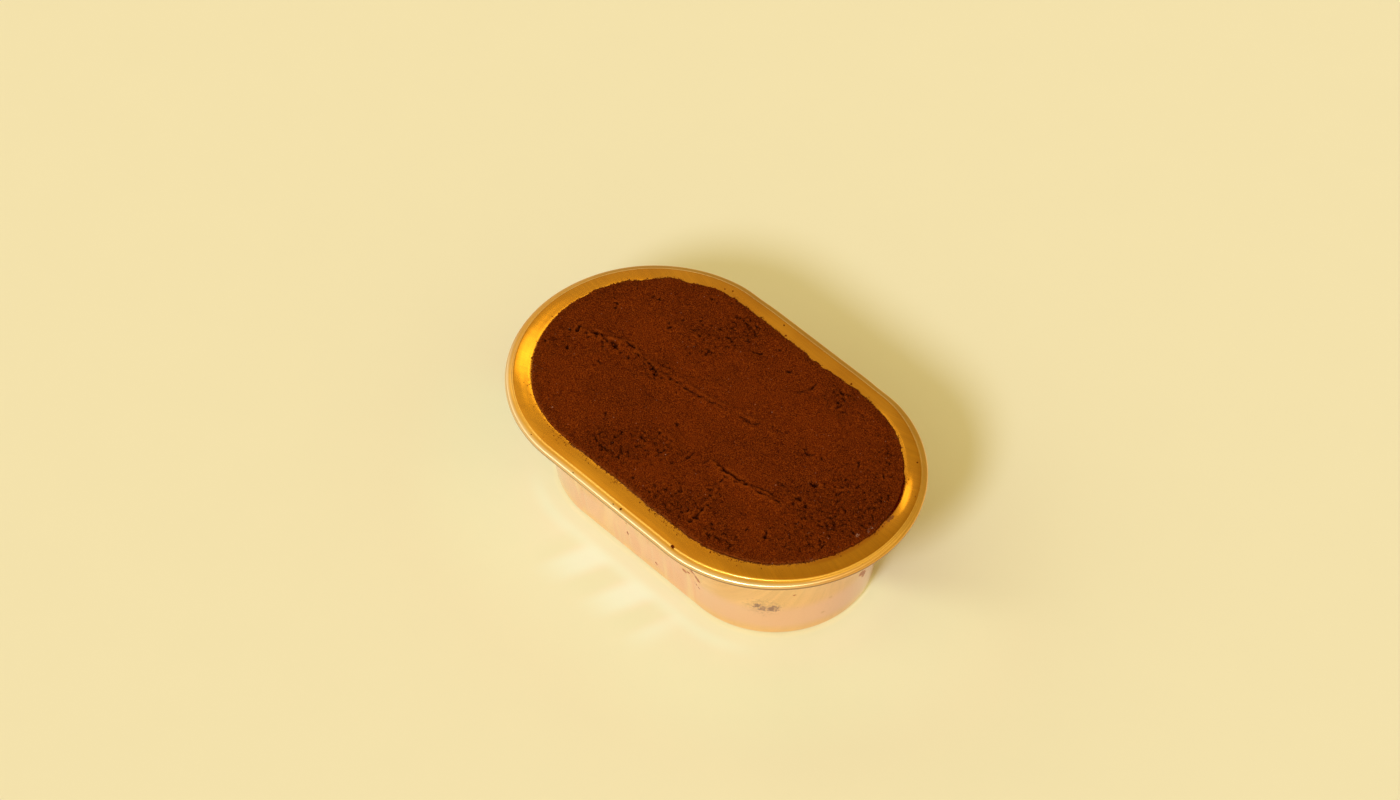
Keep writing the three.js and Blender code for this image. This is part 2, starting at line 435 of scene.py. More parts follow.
# draws a line of (radius, height) points at the front of the oval's right end
def drawLine(name, line):
    deselectAll()
    bpy.ops.mesh.primitive_plane_add(size=mm)
    piece = nameMade(name)
    bpy.ops.object.mode_set(mode="EDIT")
    bpy.ops.mesh.merge(type="CENTER")
    bpy.ops.transform.translate(value=(halfStraight * mm, -line[0][0] * mm, line[0][1] * mm))
    for before, after in zip(line, line[1:]):
        step = (0, (before[0] - after[0]) * mm, (after[1] - before[1]) * mm)
        bpy.ops.mesh.extrude_vertices_move(TRANSFORM_OT_translate={"value": step})
    return piece


# takes the drawn line round the oval: spun about each end and drawn along each side
def sweepOval(piece, arcSteps, straightSteps):
    bpy.ops.mesh.select_all(action="SELECT")
    for side in (1, -1):
        centre = (side * halfStraight * mm, 0, 0)
        bpy.ops.mesh.spin(steps=arcSteps, angle=-math.pi, center=centre, axis=(0, 0, 1))
        step = (-side * 2 * halfStraight / straightSteps * mm, 0, 0)
        for _ in range(straightSteps):
            bpy.ops.mesh.extrude_edges_move(TRANSFORM_OT_translate={"value": step})
    bpy.ops.mesh.select_all(action="SELECT")
    bpy.ops.mesh.remove_doubles(threshold=0.01 * mm)
    bpy.ops.mesh.normals_make_consistent(inside=False)
    bpy.ops.object.mode_set(mode="OBJECT")


# foil tray

tray = {
    "foil": 0.3, "flangeTop": 46.85, "flangeInset": 8.6, "smoothAngle": 50,
    "shoulderInset": 2.98, "shoulderTop": 46.35, "shoulderRadius": 0.8, "shoulderStart": 78,
    "shoulderTurn": 36, "stepLength": 0.19,
    "beadHeight": 44.35, "beadWidth": 1.1, "beadRise": 1.25,
    "beadStart": 78, "beadEnd": -150, "beadSteps": 26,
    "wallInset": 11.5, "wallDraft": 6.6, "rimFillet": 2.9, "baseFillet": 2.2,
    "arcSteps": 90, "straightSteps": 72, "rolledWidth": 2.4,
    "flutePitch": 21.5, "fluteAt": -15.7, "fluteDepth": 0.20, "unevenness": 0.1, "flangeWave": 0.08,
    "creaseDepth": 0.55, "creaseWidth": 0.5, "creaseReach": 30,
    "lipDrop": 0.75, "lipTurn": 0.35, "endStep": 0.65,
    "kinks": [(-29.6, 0.35, 5.0), (29.1, 0.3, 5.0)],  # x, depth, reach
    "kinkEdge": (5, 1), "flangeEdge": (9, 6),
    "fluteHeights": (2, 12, 34, 43), "creaseHeights": (4, 9, 17, 25),
    "stepReach": (1.0, 2.2, 3.2, 5.5), "stepHeights": (44.9, 45.5), "stepAngles": (-60, -20, 30, 70),
    "lipReach": (3.3, 8.6), "lipFrom": (2, 27), "lipTo": (33, 56),
    "turnReach": (6.9, 8.1), "turnTo": (76, 89),
}

plainGold = (0.9, 0.4, 0.03)
foilTop = {
    "name": "goldLacquer", "colour": (0.90, 0.375, 0.018), "deep": (0.80, 0.31, 0.010),
    "lowReflection": plainGold, "rubbed": plainGold, "gleam": plainGold,
    "roughness": 0.14, "anisotropy": 0.0, "streak": 0.35, "coat": 0.3, "bump": 0.5,
}
foilUnder = {
    "name": "paleGold", "colour": (1.0, 0.66, 0.38), "deep": (0.96, 0.61, 0.33),
    "lowReflection": (0.94, 0.61, 0.48), "rubbed": (0.93, 0.55, 0.42), "gleam": (1.0, 0.77, 0.53),
    "roughness": 0.2, "anisotropy": 0.0, "streak": 0.3, "coat": 0.5, "bump": 1.0,
}
rolledRim = {  # drawn out along the rim, so lights stretch along it
    "name": "rolledRim", "colour": (0.93, 0.48, 0.07), "deep": (0.88, 0.43, 0.05),
    "lowReflection": plainGold, "rubbed": plainGold, "gleam": plainGold,
    "roughness": 0.35, "anisotropy": 0.92, "streak": 0.2, "coat": 0.8, "bump": 0.3,
}


def wallRadius(height):
    lean = math.tan(math.radians(tray["wallDraft"]))
    return outerRadius - tray["wallInset"] - (tray["beadHeight"] - height) * lean


# the foil's middle line, from the centre of the base out to the end of the curled bead
def foilLine():
    half = tray["foil"] / 2
    baseEnd = (wallRadius(0) - tray["baseFillet"], half)
    wallStart = (wallRadius(tray["baseFillet"]), tray["baseFillet"])
    wallEnd = (wallRadius(tray["flangeTop"] - tray["rimFillet"]), tray["flangeTop"] - tray["rimFillet"])
    flangeStart = (outerRadius - tray["flangeInset"], tray["flangeTop"] - half)
    shoulderCentre = (outerRadius - tray["shoulderInset"], tray["shoulderTop"] - tray["shoulderRadius"])
    shoulder = tray["shoulderRadius"] - half
    curve = roundRun(shoulderCentre, (shoulder, shoulder), tray["shoulderStart"], tray["shoulderTurn"], 9)
    crownX = (flangeStart[0] + curve[0][0]) / 2
    turn = math.radians(tray["shoulderTurn"])
    stepX, stepZ = tray["stepLength"] * math.sin(turn), tray["stepLength"] * math.cos(turn)
    step = (curve[-1][0] + stepX, curve[-1][1] - stepZ)
    beadCentre = (outerRadius - tray["beadWidth"] - 0.01, tray["beadHeight"])
    beadRadii = (tray["beadWidth"] - half, tray["beadRise"] - half)
    bead = roundRun(beadCentre, beadRadii, tray["beadStart"], tray["beadEnd"], tray["beadSteps"])
    line = [(0, half)]
    line += straight(line[-1], baseEnd, 4)
    line += bend(baseEnd, (wallRadius(0), half), wallStart, 8)
    line += straight(wallStart, wallEnd, 14)
    line += bend(wallEnd, (wallRadius(tray["flangeTop"]), flangeStart[1]), flangeStart, 10)
    line += bend(flangeStart, (crownX, flangeStart[1]), curve[0], 12)
    line += curve[1:]
    line += bend(curve[-1], step, bead[0], 9)
    return line + bead[1:]


# how far each point lies along the foil from the base's centre, as on the flat blank
def paintBlank(piece, line):
    points = readPoints(piece)
    foot, radius, outX, outY = ovalCoordinates(points[:, 0], points[:, 1])
    drawn = np.array(line)
    along = np.concatenate([[0], np.cumsum(np.hypot(*np.diff(drawn, axis=0).T))])
    gaps = np.hypot(radius[:, None] - drawn[None, :, 0], points[:, 2][:, None] - drawn[None, :, 1])
    reach = along[np.argmin(gaps, axis=1)]
    flat = np.zeros_like(reach)
    paintVector(piece, "blank", np.stack([foot + outX * reach, outY * reach, flat], axis=1) * mm)
    paintVector(piece, "rimWay", np.stack([-outY, outX, flat], axis=1))
    steps = tray["beadSteps"] + 1
    curlStart = along[-steps]
    beadTurn = np.interp(reach, along[-steps:], np.linspace(tray["beadStart"], tray["beadEnd"], steps))
    # painted reflection and highlight on the bead: paler except on the far side, and paler still toward the
    # front
    farSide = (outX > -0.6) * smoothStep(outY, -0.4, 0.1)
    paint(piece, "curl", smoothStep(reach - curlStart, -0.9, 0.2) * (1 - farSide))
    paint(piece, "frontHighlight", smoothStep(-outY, 0.3, 0.75))
    # painted shade: a dark line along the lower edge of the curled bead
    paint(piece, "hem", smoothStep(beadTurn, 14, 2) * (reach > curlStart))
    rolled = reach > curlStart - tray["rolledWidth"]
    for face in piece.data.polygons:
        face.material_index = 2 if all(rolled[corner] for corner in face.vertices) else 0


# how far the flange's inner half falls toward the cocoa on the right and at the far right
def lipFall(radius, outX, outY):
    inward = outerRadius - radius
    angle = np.degrees(np.arctan2(outY, outX))
    lip = smoothStep(inward, *tray["lipReach"]) * (1 - smoothStep(angle, *tray["lipTo"]))
    turn = smoothStep(inward, *tray["turnReach"]) * (1 - smoothStep(angle, *tray["turnTo"]))
    return (tray["lipDrop"] * lip + tray["lipTurn"] * turn) * smoothStep(angle, *tray["lipFrom"])


# shallow flutes in the long walls, creases between them, and two kinks in the far rim
def dentFoil(piece):
    points = readPoints(piece)
    x, y, z = points.T
    _, radius, outX, outY = ovalCoordinates(x, y)
    wall = within(z, *tray["fluteHeights"]) * (radius > wallRadius(0) - 1)
    side = smoothStep(np.abs(outY), 0.75, 1.0)
    wave = np.cos(2 * math.pi * (x - tray["fluteAt"]) / tray["flutePitch"])
    inward = tray["fluteDepth"] * wave * wall * side
    half = tray["flutePitch"] / 2
    offset = (x - tray["fluteAt"] + half / 2) % half - half / 2
    low = within(z, *tray["creaseHeights"])
    onFront = (outY < -0.9) * (np.abs(x) < tray["creaseReach"])
    crease = np.exp(-(offset / tray["creaseWidth"]) ** 2) * low * onFront
    inward += tray["creaseDepth"] * crease * (0.6 + 0.4 * softNoise(x, z, 4, 3))
    inward += tray["unevenness"] * softNoise(x + y, z * 0.4, 15, 4) * wall
    angle = np.degrees(np.arctan2(outY, outX))
    inset = outerRadius - radius
    endStep = within(inset, *tray["stepReach"]) * smoothStep(z, *tray["stepHeights"])
    inward -= tray["endStep"] * endStep * within(angle, *tray["stepAngles"])
    kinkFrom, kinkTo = tray["kinkEdge"]
    rim = smoothStep(radius, outerRadius - kinkFrom, outerRadius - kinkTo) * (outY > 0.8)
    for kinkX, depth, reach in tray["kinks"]:
        inward += depth * np.exp(-((x - kinkX) / reach) ** 2) * rim
    points[:, 0] -= outX * inward
    points[:, 1] -= outY * inward
    flangeFrom, flangeTo = tray["flangeEdge"]
    flange = smoothStep(radius, outerRadius - flangeFrom, outerRadius - flangeTo)
    points[:, 2] += tray["flangeWave"] * flange * (softNoise(x, y, 16, 5) - 1)
    points[:, 2] -= lipFall(radius, outX, outY) * smoothStep(z, 40, 46)
    writePoints(piece, points)


# the height of the foil's upper side between the cocoa and the shoulder
def flangeHeight(x, y):
    _, radius, outX, outY = ovalCoordinates(x, y)
    outward = tray["flangeInset"] - (outerRadius - radius)
    share = np.clip(outward / (tray["flangeInset"] - tray["shoulderInset"]), 0, 1)
    fall = (tray["flangeTop"] - tray["shoulderTop"]) * share ** 2
    wave = tray["flangeWave"]
    return tray["flangeTop"] - fall + wave * softNoise(x, y, 16, 5) - wave - lipFall(radius, outX, outY)


dusting = {  # shares, reaches in mm and angles in degrees from the right end
    "near": 0.7, "everywhere": 0.3, "nearAngles": (15, 35), "nearFrom": -25, "reach": 1.1,
    "haze": 0.10, "hazeReach": 6, "flangeShadeAngles": (-42, -18, 12, 24), "flangeShadeEdge": (7.6, 6.0),
    "shadeAngles": (-38, 4, 60, 100), "wallInset": 8,
    "drips": [(71.3, 12, 0.7, 1.8, 1.0), (72.2, 9.5, 0.5, 1.2, 0.7)],  # x, y, width, length, amount
}


# cocoa dust beside the cocoa's edge, painted brown shade on the inner flange at the right, and painted shade
# on the right end of the wall
def paintDust(piece):
    points = readPoints(piece)
    x, y, z = points.T
    _, radius, outX, outY = ovalCoordinates(x, y)
    fromCocoa = radius - cocoaEdgeRadius(x, y)
    angle = np.degrees(np.arctan2(outY, outX))
    onFlange = z > tray["shoulderTop"] - 0.5
    near = dusting["near"] * smoothStep(-angle, *dusting["nearAngles"]) * (x > dusting["nearFrom"])
    dust = (1 - smoothStep(fromCocoa, 0.0, dusting["reach"])) * (near + dusting["everywhere"])
    dust = (dust + dusting["haze"] * (1 - smoothStep(fromCocoa, 0, dusting["hazeReach"]))) * onFlange
    drip = sum(amount * np.exp(-((x - dripX) / width) ** 2 - ((y - dripY) / length) ** 2)
               for dripX, dripY, width, length, amount in dusting["drips"])
    paint(piece, "dust", dust + drip)
    # painted shade: a brown darkening on the inner flange at the right end
    flangeShadeFrom, flangeShadeTo = dusting["flangeShadeEdge"]
    inner = 1 - smoothStep(radius, outerRadius - flangeShadeFrom, outerRadius - flangeShadeTo)
    paint(piece, "flangeShade", within(angle, *dusting["flangeShadeAngles"]) * onFlange * inner)
    # painted shade on the right end of the wall
    onWallSide = (z < tray["beadHeight"]) & (radius < outerRadius - dusting["wallInset"])
    paint(piece, "endShade", within(angle, *dusting["shadeAngles"]) * onWallSide)


wallMarks = [  # cocoa on the outside of the wall: from, to and half width
    ((26.7, -36.7, 20.0), (28.4, -36.6, 18.9), 0.3), ((28.4, -36.6, 18.9), (29.9, -36.4, 17.4), 0.36),
    ((22.8, -36.4, 17.2), (23.6, -36.4, 16.9), 0.32), ((24.6, -36.5, 17.6), (25.4, -36.5, 17.8), 0.24),
    ((27.9, -36.1, 14.4), (28.4, -36.1, 14.0), 0.25), ((29.4, -36.0, 13.2), (29.7, -36.0, 12.8), 0.16),
    ((65.0, 5.2, 17.6), (64.9, 6.6, 16.6), 0.6), ((64.9, 6.6, 16.6), (64.6, 7.2, 15.2), 0.6),
    ((64.6, 7.2, 15.2), (64.4, 6.9, 14.2), 0.25), ((59.7, -21.2, 23.6), (60.0, -20.8, 23.8), 0.1),
    ((-5.2, -35.9, 12.6), (-4.9, -35.9, 11.2), 0.15), ((8.0, -35.2, 7.0), (8.4, -35.2, 6.4), 0.2),
    ((-27.2, -36.8, 20.4), (-26.8, -36.8, 19.2), 0.16), ((-8.9, -36.6, 18.4), (-4.2, -36.5, 17.4), 0.1),
]
smudges = [  # grey dabs on the wall: centre, reach, stretch, turn, amount
    ((50.4, -29.0, 17.3), 1.9, 1.3, -35, 1.0), ((52.2, -28.0, 15.9), 1.9, 1.5, -45, 0.9),
    ((54.7, -25.9, 16.2), 2.5, 1.5, -50, 1.0), ((52.5, -27.6, 16.5), 5.4, 2.0, -45, 0.22),
]
smears = [  # faint fingermarks on the wall: centre and reach
    ((64.4, -8.2, 15.9), 1.0), ((59.9, -20.7, 23.8), 0.8), ((63.0, -10.3, 8.5), 0.9),
]
foilWear = {  # noise scales, amounts and colours that all the foils share
    "grainTurn": -115, "grainStretch": 0.03, "grain": 2600.0, "wideGrain": 420.0,
    "cloud": 45.0, "fleck": 900.0,
    # painted shade colours: on the inner flange at the right, on the right end of the wall and along the
    # lower edge of the bead
    "flangeShade": (0.8, (0.62, 0.19, 0.004)), "endShade": (0.83, 0.80, 0.90), "hem": (0.9, (0.31, 0.125, 0.03)),
    # the bead's painted reflection colour, and its paler painted highlight toward the front
    "curl": (0.88, 0.47, 0.14), "highlightCurl": (1.0, 0.72, 0.42),
    # heights in mm of the painted reflection low on the wall, then the slant of the painted reflection
    # streaks
    "lowReflectionTop": (19, 13), "lowReflectionFoot": (2, 7), "slant": 12, "slantStretch": 0.12,
    # painted reflection: darker and paler slanted streaks on the wall
    "streaks": [  # colour, noise scale, shift in metres, noise from and to, height from and to, amount
        ("rubbed", 190.0, (0, 0, 0), 0.46, 0.64, 40, 26, 0.65),
        ("gleam", 170.0, (0.031, 0.017, 0), 0.52, 0.68, 32, 20, 0.55),
    ],
    "beforeEnd": (34 * mm, 22 * mm, 0.08, 1.0),
    "smudge": (0.85, (0.23, 0.12, 0.11)), "smear": (0.35, (0.45, 0.17, 0.04)),
    "scratch": (0.92, (0.38, 0.055, 0.0)),
    "powder": (0.85, (0.22, 0.05, 0.008)), "powderGain": 0.42, "powderFrom": (0.72, 0.80),
    "coatRoughness": 0.10, "coatIor": 1.5, "waveHeight": 0.6, "brushHeight": 0.06,
    "waveStrength": 0.25, "brushStrength": 0.10, "ragged": 0.7,
    "deepCloud": (0.35, 0.7), "lines": (0.7, 1.3), "lowReflectionCloud": (0.25, 0.6, 0.5, 1.0),
    "roughCloud": (0.3, 0.7), "smoother": -0.04, "rougher": 0.05,
    "powderCover": 0.2, "markCover": 0.4, "coverRough": 0.5,
}
scratchLook = {"widen": 2.2, "noise": 1800.0, "wobble": 1.2, "outer": 1.9, "inner": 1.1}


# a place moved straight in or out onto the outside of the wall
def onWall(spot):
    place = ovalCoordinates(np.float64(spot[0]), np.float64(spot[1]))
    foot, _, outX, outY = (float(value) for value in place)
    reach = wallRadius(spot[2]) + tray["foil"] / 2
    return Vector((foot + outX * reach, outY * reach, spot[2]))


# a thin line of cocoa between two points in mm
def scratchMask(place, start, end, width):
    first, last = onWall(start) * mm, onWall(end) * mm
    width = scratchLook["widen"] * width
    along = last - first
    share = vectorNode("DOT_PRODUCT", vectorNode("SUBTRACT", place, first), along, output="Value")
    share = times(share, 1 / along.length_squared)
    share = mathNode("MINIMUM", mathNode("MAXIMUM", share, 0.0), 1.0)
    nearest = vectorNode("MULTIPLY_ADD", share, along, first)
    distance = vectorNode("DISTANCE", place, nearest, output="Value")
    wobble = times(noiseNode(place, scratchLook["noise"], 2.0), scratchLook["wobble"] * width * mm)
    distance = mathNode("ADD", distance, wobble)
    return mapRange(distance, scratchLook["outer"] * width * mm, scratchLook["inner"] * width * mm)


def strongest(masks):
    total = 0.0
    for mask in masks:
        total = mathNode("MAXIMUM", total, mask)
    return total


def foilMaterial(spec):
    material, tree, shader = startMaterial(spec["name"])
    place = objectPlace(tree)
    along, _, height = coordinates(place)
    grainTurn, slant = math.radians(foilWear["grainTurn"]), math.radians(foilWear["slant"])
    blank = painted(tree, "blank", "Vector")
    brushedWay = mapped(blank, rotation=(0, 0, grainTurn), scale=(foilWear["grainStretch"], 1, 1))
    grain = noiseNode(brushedWay, foilWear["grain"], 3.0, 0.7)
    wideGrain = noiseNode(brushedWay, foilWear["wideGrain"], 2.0, 0.6)
    cloud = noiseNode(place, foilWear["cloud"])
    tone = mixColour(mapRange(cloud, *foilWear["deepCloud"]), spec["colour"], spec["deep"])
    lines = mapRange(mathNode("ADD", grain, wideGrain), *foilWear["lines"], 1 - spec["streak"] * 0.35, 1.0)
    tone = mixColour(1.0, tone, lines, "MULTIPLY")

    def cover(tone, share, name):
        amount, colour = foilWear[name]
        return mixColour(times(share, amount), tone, colour)

    # painted shade on the inner flange at the right end
    tone = cover(tone, painted(tree, "flangeShade"), "flangeShade")
    # painted reflection: the wall is pinker in patches from about 2 to 19 mm up, where it mirrors the darker
    # floor by its foot
    lowReflection = times(ramp(height, *foilWear["lowReflectionTop"]), ramp(height, *foilWear["lowReflectionFoot"]),
                  mapRange(cloud, *foilWear["lowReflectionCloud"]))
    tone = mixColour(lowReflection, tone, spec["lowReflection"])
    # painted reflection: darker and paler slanted streaks on the wall, stopping before its right end
    slanted = mapped(place, rotation=(0, slant, 0), scale=(1, 1, foilWear["slantStretch"]))
    beforeEnd = mapRange(along, *foilWear["beforeEnd"])
    for name, scale, shift, low, high, top, bottom, amount in foilWear["streaks"]:
        noise = noiseNode(mapped(slanted, location=shift), scale, 2.0, 0.5)
        share = times(mapRange(noise, low, high), ramp(height, top, bottom), beforeEnd, amount)
        tone = mixColour(share, tone, spec[name])
    # painted shade on the right end of the wall
    tone = mixColour(painted(tree, "endShade"), tone, foilWear["endShade"], "MULTIPLY")
    # painted reflection on the bead, and a painted highlight toward the front
    curled = mixColour(painted(tree, "frontHighlight"), foilWear["curl"], foilWear["highlightCurl"])
    tone = mixColour(painted(tree, "curl"), tone, curled)
    # painted shade along the lower edge of the curled bead
    tone = cover(tone, painted(tree, "hem"), "hem")

    # marks left by handling: grey smudges, faint smears and scratches of cocoa on the wall
    smudge = strongest(times(stainMask(place, centre, reach, stretch, turn, foilWear["ragged"]), amount)
                       for centre, reach, stretch, turn, amount in smudges)
    smear = strongest(stainMask(place, centre, reach) for centre, reach in smears)
    scratch = strongest(scratchMask(place, start, end, width) for start, end, width in wallMarks)
    for share, name in ((smudge, "smudge"), (smear, "smear"), (scratch, "scratch")):
        tone = cover(tone, share, name)

    # powder: thick beside the cocoa, a few flecks elsewhere
    powder = times(painted(tree, "dust"), foilWear["powderGain"])
    speck = mapRange(mathNode("ADD", noiseNode(place, foilWear["fleck"]), powder), *foilWear["powderFrom"])
    tone = cover(tone, speck, "powder")
    marked = times(mathNode("MAXIMUM", smudge, scratch), foilWear["markCover"])
    covered = mathNode("MAXIMUM", times(speck, foilWear["powderCover"]), marked)
    least, most = spec["roughness"] + foilWear["smoother"], spec["roughness"] + foilWear["rougher"]
    rough = mapRange(cloud, *foilWear["roughCloud"], least, most)
    wavy = bumpNode(cloud, foilWear["waveStrength"] * spec["bump"], foilWear["waveHeight"] * mm)
    brushStrength = foilWear["brushStrength"] * spec["bump"]
    brushed = bumpNode(grain, brushStrength, foilWear["brushHeight"] * mm, Normal=wavy)
    feed(shader, {
        "Base Color": tone, "Roughness": mathNode("ADD", rough, times(covered, foilWear["coverRough"])),
        "Metallic": mathNode("SUBTRACT", 1.0, covered), "Coat Weight": spec["coat"],
        "Coat Roughness": foilWear["coatRoughness"], "Coat IOR": foilWear["coatIor"],
        "Normal": brushed, "Tangent": painted(tree, "rimWay", "Vector"), "Anisotropic": spec["anisotropy"],
    })
    return material


# cocoa layer

